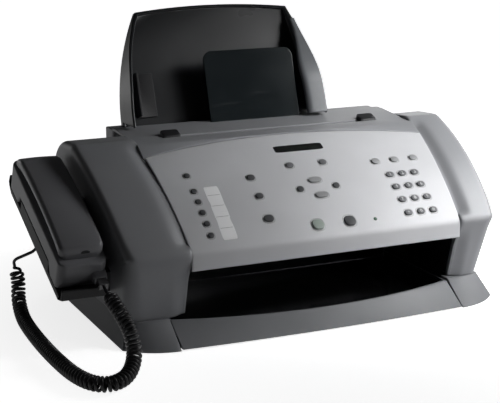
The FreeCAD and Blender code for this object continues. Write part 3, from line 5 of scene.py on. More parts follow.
import bmesh
import bpy
import numpy as np
from bpy.props import FloatProperty, FloatVectorProperty, IntProperty, PointerProperty
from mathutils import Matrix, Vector

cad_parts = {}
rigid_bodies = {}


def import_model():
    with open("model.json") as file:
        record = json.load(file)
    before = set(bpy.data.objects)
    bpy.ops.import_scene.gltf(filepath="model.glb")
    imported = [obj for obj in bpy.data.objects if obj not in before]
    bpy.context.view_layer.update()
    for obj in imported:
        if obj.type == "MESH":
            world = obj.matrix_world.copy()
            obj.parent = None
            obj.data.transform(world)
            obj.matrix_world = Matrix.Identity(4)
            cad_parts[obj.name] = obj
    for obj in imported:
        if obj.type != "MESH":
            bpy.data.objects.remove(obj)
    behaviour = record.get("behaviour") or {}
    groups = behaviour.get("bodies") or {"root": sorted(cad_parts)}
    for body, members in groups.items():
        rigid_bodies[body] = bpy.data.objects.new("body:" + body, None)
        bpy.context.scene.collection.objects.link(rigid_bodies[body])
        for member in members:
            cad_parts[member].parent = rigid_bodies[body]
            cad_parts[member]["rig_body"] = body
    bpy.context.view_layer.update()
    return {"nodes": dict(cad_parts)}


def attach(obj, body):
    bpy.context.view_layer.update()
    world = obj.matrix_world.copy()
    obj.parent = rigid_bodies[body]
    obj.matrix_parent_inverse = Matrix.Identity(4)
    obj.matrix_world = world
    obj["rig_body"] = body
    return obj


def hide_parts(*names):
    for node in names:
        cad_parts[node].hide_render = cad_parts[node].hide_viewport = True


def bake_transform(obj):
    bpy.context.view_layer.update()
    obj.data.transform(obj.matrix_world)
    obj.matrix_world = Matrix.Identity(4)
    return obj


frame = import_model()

bl_info = {
    "name": "Desk fax machine",
    "version": (1, 0, 0),
    "blender": (4, 5, 0),
    "location": "View3D > Sidebar > Fax",
    "description": "Dresses the solids of a desk fax machine with its finished surfaces",
    "category": "Object",
}

MM = 0.001

# Places that several finished surfaces share with the solids, in metres

PANEL_FRONT, PANEL_LIP = 0.1027, 0.085
PANEL_SLOPE = math.radians(34.9)
BASE_TOP = 0.022

# Middle line of the curly cord from the handset to its jack: the route of the solid cord

CORD_ROUTE = [
    (-0.21600, -0.09789, 0.06310), (-0.21600, -0.10739, 0.05887), (-0.2135, -0.128, 0.051),
    (-0.209, -0.146, 0.037), (-0.209, -0.158, 0.018), (-0.222, -0.178, 0.0085),
    (-0.241, -0.192, 0.0083), (-0.256, -0.184, 0.0083), (-0.264, -0.158, 0.0083),
    (-0.267, -0.118, 0.0083), (-0.2675, -0.072, 0.0083), (-0.266, -0.028, 0.0083),
    (-0.264, 0.006, 0.010), (-0.262, 0.026, 0.022), (-0.259, 0.033, 0.038),
    (-0.262, 0.033, 0.052), (-0.265, 0.027, 0.061), (-0.256, 0.021, 0.066),
    (-0.24300, 0.01969, 0.07068), (-0.24300, 0.01547, 0.08018),
]


# Sizes and colours that a user would change


def length(name, description, default):
    return FloatProperty(
        name=name, description=description, default=default, unit="LENGTH", precision=4
    )


def tilt(name, description, default):
    return FloatProperty(name=name, description=description, default=default, subtype="ANGLE")


def watts(name, description, default):
    return FloatProperty(name=name, description=description, default=default, subtype="POWER")


def location(name, description, default):
    return FloatVectorProperty(
        name=name, description=description, default=default, subtype="TRANSLATION"
    )


def tint(name, description, default):
    return FloatVectorProperty(
        name=name, description=description, default=default, subtype="COLOR", size=3, min=0, max=1
    )


class FaxFinishes(bpy.types.PropertyGroup):
    """Colours of the machine's materials, in linear light."""

    silver: tint("Silver", "Painted control panel", (0.56, 0.565, 0.585))
    rim: tint("Rim", "Rims round the keys", (0.392, 0.3955, 0.4095))
    casing: tint("Casing", "Side covers, deck and rear cover", (0.285, 0.291, 0.306))
    base: tint("Base", "Base and front lip", (0.190, 0.195, 0.207))
    # Black also paints the shade inside the mouth: the pan's floor, the output tray behind its lip
    # and the sheets beside the mouth
    black: tint("Black", "Black inside the mouth and of small parts", (0.012, 0.012, 0.014))
    tray: tint("Tray", "Rear paper tray", (0.019, 0.0202, 0.0225))
    # Far lighter than the tray: painted light on the inward faces of its wings and on the edge
    # guide
    wing: tint("Wing", "Inside of the tray's wings", (0.17, 0.178, 0.19))
    smoke: tint("Smoke", "Document support", (0.005, 0.009, 0.011))
    handset: tint("Handset", "Upper shell of the handset", (0.228, 0.229, 0.244))
    handset_rim: tint("Handset rim", "Lower shell of the handset", (0.238, 0.240, 0.255))
    # Near black so that the cradle reads as the shade under the handset: painted shade
    cradle: tint("Cradle", "Cradle under the handset", (0.007, 0.0072, 0.008))
    key_dark: tint("Dark key", "One-touch, column, side and stop keys", (0.070, 0.072, 0.077))
    key_grey: tint("Grey key", "Dial and menu keys", (0.125, 0.128, 0.135))
    key_light: tint("Light key", "Function keys and long arrow keys", (0.27, 0.275, 0.28))
    key_pale: tint("Pale key", "Start key", (0.32, 0.37, 0.34))
    ink: tint("Ink", "Numbers on the dial keys", (0.62, 0.63, 0.63))
    label: tint("Label", "Strip beside the one-touch keys", (0.94, 0.945, 0.955))
    rule: tint("Rule", "Lines on that strip", (0.28, 0.28, 0.29))
    display: tint("Display", "Display under its window", (0.014, 0.017, 0.015))
    lamp: tint("Lamp", "Small lamp on the panel", (0.03, 0.10, 0.05))
    cord: tint("Cord", "Curly cord", (0.014, 0.014, 0.016))
    plug: tint("Plug", "Plugs of the cord", (0.10, 0.10, 0.105))
    rubber: tint("Rubber", "Feet", (0.02, 0.02, 0.02))
    roller: tint("Roller", "Feed roller", (0.03, 0.03, 0.032))
    nylon: tint("Nylon", "Drive gear", (0.55, 0.54, 0.5))
    steel: tint("Steel", "Rod, motor, screws and pins", (0.56, 0.57, 0.59))
    zinc: tint("Zinc", "Sheet frame", (0.06, 0.06, 0.065))
    gold: tint("Gold", "Contacts in the sockets", (0.72, 0.50, 0.20))
    board: tint("Board", "Circuit board", (0.02, 0.085, 0.04))
    floor: tint("Floor", "Floor under the machine", (0.86, 0.86, 0.87))


class FaxPanelSizes(bpy.types.PropertyGroup):
    """Sizes of the curved control panel; they follow the solid panel."""

    front: length("Front", "Front edge in front of the middle", PANEL_FRONT)
    lip: length("Lip", "Height of that edge", PANEL_LIP)
    slope: tilt("Slope", "Slope of the panel", PANEL_SLOPE)
    chord: length("Chord", "Length up the slope", 0.1398)
    crown: length("Crown", "Rise of the curve over its chord", 0.0062)
    fascia: length("Fascia", "Height of the front fascia", 0.0174)
    left_front: length("Left front", "Left edge at the front", 0.133)
    left_rear: length("Left rear", "Left edge at the back corner", 0.141)
    right_front: length("Right front", "Right edge at the front", 0.156)
    right_rear: length("Right rear", "Right edge at the back corner", 0.166)
    corner: length("Corner", "Length at the back corners", 0.1205)
    gap: length("Gap", "Gap to the deck", 0.0012)
    wall: length("Wall", "Thickness of the panel", 0.0028)
    edge: length("Edge", "Rounding of the rim", 0.0012)


class FaxCoverSizes(bpy.types.PropertyGroup):
    """Sizes of the side covers; they follow the solid covers."""

    foot: length("Foot", "Half width at the base", 0.1885)
    bow: length("Bow", "How far the sides bow out", 0.002)
    spread: length("Spread", "How far the left side leans out over the full height", 0.014)
    right_spread: length("Right spread", "The same on the right", 0.0164)
    rim: length("Rim", "Rounding of the outer top edge", 0.005)
    pillar: length("Pillar", "Rounding of the upright front corner", 0.011)
    valley: length("Valley", "Dip of the top strip beside the panel", 0.004)


class FaxTraySizes(bpy.types.PropertyGroup):
    """Place and sizes of the rear paper tray; they follow the solid tray."""

    place: location("Place", "Middle of its foot", (-0.013, 0.09572, 0.148))
    lean: tilt("Lean", "Lean of the tray", math.radians(20))
    wing: length("Wing", "Depth of its wings", 0.038)
    guide: length("Guide", "Width of the fixed guide on the right wing", 0.021)


class FaxHandsetSizes(bpy.types.PropertyGroup):
    """Sizes of the handset; they follow the solid handset."""

    place: location("Place", "Middle of its underside", (-0.231, -0.008, 0.096))
    slope: tilt("Slope", "Slope of the handset", math.radians(24))
    half: length("Half length", "Half of its length", 0.0865)
    half_width: length("Half width", "Half of its width", 0.023)
    shelf: length("Shelf", "Height of the lower shell's shelf", 0.0225)


class FaxCordSizes(bpy.types.PropertyGroup):
    """Sizes of the curly cord."""

    wire: length("Wire", "Diameter of the wire", 0.0030)
    curl: length("Curl", "Radius of the curls at the middle of the wire", 0.0056)
    curls: IntProperty(name="Curls", description="Number of curls", default=84, min=4, max=120)
    start: length("Start", "Straight wire at the handset", 0.008)
    end: length("End", "Straight wire at the jack", 0.041)
    swell: length("Swell", "Cord over which the curls grow", 0.010)


class FaxStage(bpy.types.PropertyGroup):
    """Camera and studio light."""

    eye: location("Eye", "Place of the camera", (-0.58010, -1.19860, 0.42380))
    target: location("Target", "Point that it looks at", (-0.02727, 0.00077, 0.10028))
    focus: FloatProperty(name="Focal length", description="In image widths", default=2.7044)
    key_power: watts("Key power", "Lamp above on the right", 0.55)
    front_power: watts("Front power", "Lamp at the right front", 0.18)
    back_power: watts("Back power", "Lamp behind on the right", 1.0)
    rim_power: watts("Rim power", "Low lamp behind on the left", 0.6)
    fill_power: watts("Fill power", "Weak lamp at the left", 0.12)
    sky: FloatProperty(name="Sky", description="Light from all round", default=0.018)


# Nodes, node groups and materials

# material: colour, roughness, grain, scale of the grain, cloud, dust, metallic, coat
PLASTICS = {
    "silver_paint": ("silver", 0.48, 0.12, 3200, 0.05, 0.02, 0.1, 0.0),
    "rim_silver": ("rim", 0.34, 0.10, 2600, 0.10, 0.06, 0.4, 0.0),
    "grey_casing": ("casing", 0.44, 0.20, 1800, 0.06, 0.03, 0.1, 0.0),
    "base_casing": ("base", 0.55, 0.20, 1800, 0.06, 0.03, 0.0, 0.0),
    "gloss_black": ("black", 0.16, 0.06, 900, 0.20, 0.04, 0.0, 0.4),
    "matt_black": ("black", 0.50, 0.25, 1700, 0.10, 0.02, 0.0, 0.0),
    "window_gloss": ("black", 0.08, 0.02, 600, 0.30, 0.02, 0.0, 1.0),
    "tray_plastic": ("tray", 0.30, 0.10, 1700, 0.10, 0.012, 0.0, 0.0),
    # inward faces of the tray's wings and the edge guide: painted light
    "tray_wing_satin": ("wing", 0.34, 0.20, 1700, 0.08, 0.03, 0.0, 0.0),
    "smoked_support": ("smoke", 0.20, 0.03, 700, 0.20, 0.012, 0.0, 0.0),
    "handset_plastic": ("handset", 0.33, 0.25, 1700, 0.10, 0.04, 0.0, 0.2),
    "handset_lower": ("handset_rim", 0.36, 0.25, 1700, 0.10, 0.04, 0.0, 0.0),
    # dark discs of the handset: painted shade of its grille holes and of the hollow at its lower
    # end
    "handset_black": ("black", 0.40, 0.10, 900, 0.10, 0.06, 0.0, 0.0),
    # near black: painted shade under the handset
    "cradle_black": ("cradle", 0.55, 0.25, 1700, 0.10, 0.02, 0.0, 0.0),
    "cord_vinyl": ("cord", 0.32, 0.15, 2200, 0.15, 0.10, 0.0, 0.0),
    "plug_clear": ("plug", 0.20, 0.05, 900, 0.10, 0.06, 0.0, 0.5),
    "key_dark": ("key_dark", 0.38, 0.20, 2400, 0.06, 0.04, 0.0, 0.0),
    "key_grey": ("key_grey", 0.38, 0.20, 2400, 0.06, 0.04, 0.0, 0.0),
    "key_light": ("key_light", 0.38, 0.20, 2400, 0.06, 0.04, 0.0, 0.0),
    "key_pale": ("key_pale", 0.38, 0.20, 2400, 0.06, 0.04, 0.0, 0.0),
    "key_ink": ("ink", 0.50, 0.10, 3000, 0.04, 0.0, 0.0, 0.0),
    "label_strip": ("label", 0.30, 0.08, 2500, 0.04, 0.04, 0.0, 0.3),
    "rule_grey": ("rule", 0.50, 0.05, 1800, 0.10, 0.06, 0.0, 0.0),
    "display_screen": ("display", 0.12, 0.02, 400, 0.20, 0.0, 0.0, 0.0),
    "lamp_green": ("lamp", 0.15, 0.02, 300, 0.10, 0.06, 0.0, 0.6),
    "foot_rubber": ("rubber", 0.70, 0.50, 900, 0.10, 0.06, 0.0, 0.0),
    "roller_rubber": ("roller", 0.60, 0.40, 1200, 0.10, 0.06, 0.0, 0.0),
    "gear_nylon": ("nylon", 0.40, 0.15, 1800, 0.10, 0.06, 0.0, 0.0),
    "circuit_board": ("board", 0.35, 0.30, 500, 0.25, 0.06, 0.0, 0.3),
}
# material: colour, roughness, stretch of its drawn lines, how dark they are
METALS = {
    "bright_steel": ("steel", 0.20, (900, 30, 900), 0.75),
    "black_zinc": ("zinc", 0.42, (60, 60, 60), 0.70),
    "contact_gold": ("gold", 0.25, (900, 30, 900), 0.75),
}
DUST = (0.42, 0.41, 0.39)
RUB_MARKS, COAT_ROUGHNESS = 0.12, 0.12
CLOUD_RANGE, GLOSS_RANGE, GLOSS_SPREAD = (0.35, 0.65), (0.3, 0.7), 0.04
GRAIN_DEPTH = 0.0002


def finishes():
    return bpy.context.scene.fax_finishes


def feed(tree, target, inputs):
    """Sets each named input of a node to a constant, or links it to the output that feeds it."""
    for name, value in inputs.items():
        if isinstance(value, bpy.types.NodeSocket):
            tree.links.new(value, target.inputs[name])
        else:
            target.inputs[name].default_value = value


def node(tree, kind, inputs=None, **settings):
    made = tree.nodes.new(kind)
    for name, value in settings.items():
        setattr(made, name, value)
    feed(tree, made, inputs or {})
    return made


def noise(tree, vector, scale, detail=2.0, roughness=0.5):
    inputs = {"Vector": vector, "Scale": scale, "Detail": detail, "Roughness": roughness}
    return node(tree, "ShaderNodeTexNoise", inputs).outputs["Fac"]


def arithmetic(tree, operation, first, second):
    inputs = {0: first, 1: second}
    return node(tree, "ShaderNodeMath", inputs, operation=operation).outputs["Value"]


def ramp(tree, value, low, high, first=0.0, last=1.0):
    """A straight ramp from first to last as the value runs from low to high, held at its ends."""
    inputs = {"Value": value, "From Min": low, "From Max": high, "To Min": first, "To Max": last}
    return node(tree, "ShaderNodeMapRange", inputs, clamp=True).outputs["Result"]


def blend_colours(tree, factor, first, second):
    """A mix of two colours, each a tuple or an output."""
    made = node(tree, "ShaderNodeMix", {"Factor": factor}, data_type="RGBA")
    colours = [(*value, 1) if isinstance(value, tuple) else value for value in (first, second)]
    places = [place for place, socket in enumerate(made.inputs) if socket.type == "RGBA"]
    feed(tree, made, dict(zip(places, colours)))
    return next(socket for socket in made.outputs if socket.type == "RGBA")


def mix_shaders(tree, factor, first, second):
    inputs = {"Fac": factor, 1: first, 2: second}
    return node(tree, "ShaderNodeMixShader", inputs).outputs["Shader"]


def bumped(tree, height, strength, distance):
    inputs = {"Height": height, "Strength": strength, "Distance": distance}
    return node(tree, "ShaderNodeBump", inputs).outputs["Normal"]


def object_place(tree):
    return node(tree, "ShaderNodeTexCoord").outputs["Object"]


def new_tree(name, given, results):
    """An empty shader group of number sockets: its tree, its inputs and the node of its results."""
    tree = bpy.data.node_groups.new(name, "ShaderNodeTree")
    for label, default in given.items():
        socket = tree.interface.new_socket(
            name=label, in_out="INPUT", socket_type="NodeSocketFloat"
        )
        socket.default_value = default
    for label in results:
        tree.interface.new_socket(name=label, in_out="OUTPUT", socket_type="NodeSocketFloat")
    return tree, node(tree, "NodeGroupInput").outputs, node(tree, "NodeGroupOutput")


def grain_group():
    """Moulded grain: fine and finer noise for the height, broad noise for the cloudy shade."""
    if "moulded_grain" in bpy.data.node_groups:
        return bpy.data.node_groups["moulded_grain"]
    tree, given, result = new_tree("moulded_grain", {"Scale": 1800.0}, ("Height", "Cloud"))
    place = object_place(tree)
    fine = noise(tree, place, given["Scale"], 3.0, 0.55)
    finer = noise(tree, place, arithmetic(tree, "MULTIPLY", given["Scale"], 2.3), 1.0)
    weighed = [
        arithmetic(tree, "MULTIPLY", part, share) for part, share in ((fine, 0.7), (finer, 0.3))
    ]
    height = arithmetic(tree, "ADD", *weighed)
    feed(tree, result, {"Height": height, "Cloud": noise(tree, place, 9.0, 3.0)})
    return tree


def masked(tree, given, result, first, second):
    """Two masks and the group's amount, multiplied."""
    both = arithmetic(tree, "MULTIPLY", first, second)
    feed(tree, result, {"Mask": arithmetic(tree, "MULTIPLY", both, given["Amount"])})
    return tree


def dust_group():
    """Settled dust: a mask that is strongest where a face looks up, broken by noise."""
    if "settled_dust" in bpy.data.node_groups:
        return bpy.data.node_groups["settled_dust"]
    tree, given, result = new_tree("settled_dust", {"Amount": 0.1}, ("Mask",))
    normal = node(tree, "ShaderNodeNewGeometry").outputs["Normal"]
    split = node(tree, "ShaderNodeSeparateXYZ", {"Vector": normal})
    up = ramp(tree, split.outputs["Z"], 0.3, 1.0)
    patches = ramp(tree, noise(tree, object_place(tree), 60.0, 5.0, 0.65), 0.42, 0.72)
    return masked(tree, given, result, up, patches)


def scuff_group():
    """Fine rub marks: stretched noise cut to thin streaks, for the roughness."""
    if "rub_marks" in bpy.data.node_groups:
        return bpy.data.node_groups["rub_marks"]
    tree, given, result = new_tree("rub_marks", {"Amount": 0.1}, ("Mask",))
    place = object_place(tree)
    inputs = {"Vector": place, "Scale": (40, 260, 260), "Rotation": (0.5, 0.3, 0.7)}
    stretched = node(tree, "ShaderNodeMapping", inputs).outputs["Vector"]
    streaks = ramp(tree, noise(tree, stretched, 1.0, 4.0, 0.6), 0.56, 0.75)
    broken = ramp(tree, noise(tree, place, 22.0, 2.0), 0.45, 0.65)
    return masked(tree, given, result, streaks, broken)


def group_node(tree, group, **values):
    return node(tree, "ShaderNodeGroup", values, node_tree=group)


def new_material(name):
    material = bpy.data.materials.new(name)
    material.use_nodes = True
    return material, material.node_tree


def plastic(name):
    """Moulded plastic: cloudy colour, grain in the normal, dust on top, rub marks in the gloss."""
    if name in bpy.data.materials:
        return bpy.data.materials[name]
    finish, roughness, grain, scale, cloud, dust, metallic, coat = PLASTICS[name]
    colour = tuple(getattr(finishes(), finish))
    material, tree = new_material(name)
    grains = group_node(tree, grain_group(), Scale=scale).outputs
    dark = tuple(c * (1 - cloud) for c in colour)
    pale = tuple(min(1.0, c * (1 + cloud)) for c in colour)
    base = blend_colours(tree, ramp(tree, grains["Cloud"], *CLOUD_RANGE), dark, pale)
    dusty = group_node(tree, dust_group(), Amount=dust).outputs["Mask"]
    veil = tuple(0.5 * c + 0.5 * g for c, g in zip(colour, DUST))
    rubbed = group_node(tree, scuff_group(), Amount=RUB_MARKS).outputs["Mask"]
    glossy, dull = roughness - GLOSS_SPREAD, roughness + GLOSS_SPREAD
    gloss = ramp(tree, grains["Cloud"], *GLOSS_RANGE, glossy, dull)
    feed(tree, tree.nodes["Principled BSDF"], {
        "Base Color": blend_colours(tree, dusty, base, veil),
        "Roughness": arithmetic(tree, "ADD", gloss, rubbed),
        "Normal": bumped(tree, grains["Height"], grain, GRAIN_DEPTH),
        "Metallic": metallic,
        "Coat Weight": coat,
        "Coat Roughness": COAT_ROUGHNESS,
    })
    return material


def metal(name):
    """Bare metal with drawn lines: noise stretched along one axis shades colour and gloss."""
    if name in bpy.data.materials:
        return bpy.data.materials[name]
    finish, roughness, stretch, dark = METALS[name]
    colour = tuple(getattr(finishes(), finish))
    material, tree = new_material(name)
    inputs = {"Vector": object_place(tree), "Scale": stretch}
    lines = node(tree, "ShaderNodeMapping", inputs).outputs["Vector"]
    streaks = noise(tree, lines, 1.0, 3.0)
    shaded = tuple(c * dark for c in colour)
    feed(tree, tree.nodes["Principled BSDF"], {
        "Base Color": blend_colours(tree, ramp(tree, streaks, *GLOSS_RANGE), shaded, colour),
        "Roughness": ramp(tree, streaks, *GLOSS_RANGE, roughness + 0.08, roughness - 0.05),
        "Normal": bumped(tree, streaks, 0.08, 0.0001),
        "Metallic": 1.0,
    })
    return material


# Mesh helpers

MERGE, MERGE_SOLID, SLIVER = 2e-6, 4e-6, 1e-7
FLAT_ANGLE = math.radians(0.6)

# solid that is shown with round edges: material, rounding in millimetres, steps, least edge angle

SOFT_SOLIDS = {
    "handset_plug": ("plug_clear", 0.6, 2, 30),
    "base_plug": ("plug_clear", 0.6, 2, 30),
    "top_deck": ("grey_casing", 1.0, 3, 30),
    "paper_tray": ("tray_plastic", 1.0, 3, 30),
    "paper_width_guide": ("matt_black", 0.6, 2, 30),
    "document_support": ("smoked_support", 0.8, 3, 30),
    "base_pan": ("base_casing", 1.2, 3, 30),
    "output_tray": ("base_casing", 1.2, 3, 30),
    "rubber_feet": ("foot_rubber", 0.5, 2, 30),
    # the cradle is near black: painted shade under the handset
    "handset_cradle": ("cradle_black", 1.5, 3, 30),
    "hook_plunger": ("handset_plastic", 0.8, 2, 30),
    "rear_cover": ("grey_casing", 1.2, 3, 30),
    "rear_sockets": ("gloss_black", 0.5, 2, 30),
    "print_frame": ("black_zinc", 0.3, 2, 30),
    "carriage_rod": ("bright_steel", 0.6, 2, 30),
    "print_carriage": ("gloss_black", 1.0, 2, 30),
    "drive_motor": ("bright_steel", 0.6, 2, 30),
    "feed_roller": ("roller_rubber", 0.2, 1, 50),
    "drive_gear": ("gear_nylon", 0.1, 1, 50),
    "panel_board": ("circuit_board", 0.3, 2, 30),
}


def stacked(x, y, z):
    """Points of three arrays of coordinates, stretched to one shape."""
    return np.stack(np.broadcast_arrays(x, y, z), axis=-1)


def grid(points, wrap_columns=False):
    """Quads over a grid of points; a cell joins point (i, j) with neighbours i + 1 and j + 1."""
    rows, columns = points.shape[:2]
    index = np.arange(rows * columns).reshape(rows, columns)
    if wrap_columns:
        index = np.hstack([index, index[:, :1]])
    cells = [index[:-1, :-1], index[:-1, 1:], index[1:, 1:], index[1:, :-1]]
    return points.reshape(-1, 3), np.stack(cells, axis=-1).reshape(-1, 4)


def joined(grids):
    """Several grids of points as the (points, quads) of one surface."""
    surfaces = [grid(points) for points in grids]
    counts = np.cumsum([0] + [len(points) for points, quads in surfaces])
    points = np.concatenate([points for points, quads in surfaces])
    quads = np.concatenate([quads + first for (unused, quads), first in zip(surfaces, counts)])
    return points, quads


def capped(sections):
    """Sections whose two ends are closed: each end shrinks to its own middle in two steps."""
    first, last = sections[:1], sections[-1:]
    start, end = first.mean(1, keepdims=True), last.mean(1, keepdims=True)
    return np.concatenate(
        [start + 0 * first, (start + first) / 2, sections, (end + last) / 2, end + 0 * last]
    )


def put(name, surface, material, body, replaces=(), closed=True, sharp=50.0):
    """One finished piece: mesh, shading, material, the body it rides on, the solids it replaces."""
    points, quads = surface
    mesh = bpy.data.meshes.new(name)
    mesh.from_pydata(points.tolist(), [], quads.tolist())
    work = bmesh.new()
    work.from_mesh(mesh)
    bmesh.ops.remove_doubles(work, verts=work.verts, dist=MERGE)
    bmesh.ops.dissolve_degenerate(work, edges=work.edges, dist=SLIVER)
    if closed:
        bmesh.ops.recalc_face_normals(work, faces=work.faces)
    work.to_mesh(mesh)
    work.free()
    return place_mesh(name, mesh, material, body, replaces, sharp)


def place_mesh(name, mesh, material, body, replaces=(), sharp=50.0):
    mesh.polygons.foreach_set("use_smooth", np.ones(len(mesh.polygons), bool))
    mesh.set_sharp_from_angle(angle=math.radians(sharp))
    mesh.materials.clear()
    mesh.materials.append(material)
    made = bpy.data.objects.new(name, mesh)
    bpy.context.scene.collection.objects.link(made)
    if body:
        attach(made, body)
    if replaces:
        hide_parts(*replaces)
    return made


def thicken(made, thickness):
    wall = made.modifiers.new("wall", "SOLIDIFY")
    wall.thickness = thickness
    wall.offset = -1


def body_of_node(name):
    return frame["nodes"][name]["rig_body"]


def read(collection, attribute):
    """Three numbers of each vertex or face of a mesh, as rows."""
    flat = np.empty(len(collection) * 3, np.float32)
    collection.foreach_get(attribute, flat)
    return flat.reshape(-1, 3)


def corners(mesh):
    return read(mesh.vertices, "co").astype(float)


def move_corners(mesh, points):
    mesh.vertices.foreach_set("co", points.astype(np.float32).ravel())


def mesh_of_curve(curve):
    """The mesh that Blender makes of a curve or a text."""
    made = bpy.data.objects.new(curve.name, curve)
    bpy.context.scene.collection.objects.link(made)
    bpy.context.view_layer.update()
    shown = made.evaluated_get(bpy.context.evaluated_depsgraph_get())
    mesh = bpy.data.meshes.new_from_object(shown)
    bpy.data.objects.remove(made)
    return mesh


def softened(name, second=None, chosen=None):
    """A merged copy of a solid whose edges sharper than an angle are rounded over.

    Faces that a test of their middles and normals picks out get the second material.
    """
    finish, width, segments, angle = SOFT_SOLIDS[name]
    material = metal(finish) if finish in METALS else plastic(finish)
    mesh = bpy.data.meshes.new(name + "_finish")
    work = bmesh.new()
    work.from_mesh(frame["nodes"][name].data)
    bmesh.ops.remove_doubles(work, verts=work.verts, dist=MERGE_SOLID)
    bmesh.ops.dissolve_limit(work, angle_limit=FLAT_ANGLE, verts=work.verts, edges=work.edges)
    work.to_mesh(mesh)
    work.free()
    made = place_mesh(name + "_finish", mesh, material, body_of_node(name), [name], 40.0)
    if second:
        mesh.materials.append(second)
        picked = chosen(read(mesh.polygons, "center"), read(mesh.polygons, "normal"))
        mesh.polygons.foreach_set("material_index", picked.astype(np.int32))
    bevel = made.modifiers.new("soft_edges", "BEVEL")
    bevel.width = width * MM
    bevel.segments = segments
    bevel.limit_method = "ANGLE"
    bevel.angle_limit = math.radians(angle)
    bevel.use_clamp_overlap = True
    bevel.harden_normals = True
    return made


def smooth(share):
    """The curve 3 s^2 - 2 s^3 from nothing to one, held at its ends."""
    share = np.clip(share, 0.0, 1.0)
    return share * share * (3 - 2 * share)


def unit(vectors):
    return vectors / np.linalg.norm(vectors, axis=1, keepdims=True)


def rings(half_width, half_length, count, power=2.6):
    """Points (a sgn(c)|c|^(2/p), b sgn(s)|s|^(2/p)), c and s the cosine and sine of a full turn."""
    angles = np.linspace(0, 2 * np.pi, count)[None, :]
    cosine, sine = np.cos(angles), np.sin(angles)
    across = half_width * np.sign(cosine) * np.abs(cosine) ** (2 / power)
    along = half_length * np.sign(sine) * np.abs(sine) ** (2 / power)
    return across, along


# The control panel's own frame: x across, u up the slope, h above the chord


def panel_to_frame(x, u, h):
    """Turns the panel's axes by its slope and moves them to the panel's front edge."""
    sizes = bpy.context.scene.fax_panel
    cosine, sine = math.cos(sizes.slope), math.sin(sizes.slope)
    y = u * cosine - h * sine - sizes.front
    return stacked(x, y, u * sine + h * cosine + sizes.lip)


def frame_to_panel(points):
    sizes = bpy.context.scene.fax_panel
    y, z = points[..., 1] + sizes.front, points[..., 2] - sizes.lip
    cosine, sine = math.cos(sizes.slope), math.sin(sizes.slope)
    return stacked(points[..., 0], y * cosine + z * sine, z * cosine - y * sine)


def panel_rise(u):
    """The panel's arc over its chord: sqrt(R^2 - (u - L/2)^2) - (R - c), R = (L^2/4 + c^2) / 2c."""
    sizes = bpy.context.scene.fax_panel
    half = sizes.chord / 2
    radius = (half * half + sizes.crown**2) / (2 * sizes.crown)
    return np.sqrt(radius**2 - (u - half) ** 2) - (radius - sizes.crown)


# Operators, one for each group of pieces

# lamp: its power, place, target, sides in metres and spread in degrees
LAMPS = {
    "side_softbox": ("key_power", (0.47, -0.20, 0.41), (0.155, -0.01, 0.135), (0.26, 0.26), 60),
    "front_softbox": ("front_power", (0.50, -0.62, 0.22), (0.15, -0.09, 0.07), (0.2, 0.2), 52),
    "back_lamp": ("back_power", (0.80, 0.85, 0.42), (0.0, 0.05, 0.12), (0.6, 0.5), 180),
    "rim_lamp": ("rim_power", (-0.60, 1.00, 0.30), (-0.1, 0.05, 0.1), (0.5, 0.4), 180),
    "fill_lamp": ("fill_power", (-0.9, -0.9, 0.7), (-0.1, 0.0, 0.1), (0.8, 0.8), 180),
}
SENSOR = 36
WHITE = (1, 1, 1, 1)
BACKDROP_SLANT = 1.4
BACKDROP_REACH = (1.36, 1.62)
BACKDROP_LEVEL = 0.9
FLOOR_HALF = 4.0
FLOOR_DROP = 0.0004
FLOOR_SHADE = 0.985
GLOW_REACH = (0.18, 0.42)
GLOW_LEVELS = (0.76, 1.0)
GLOW_IN_GLOSS = 0.35


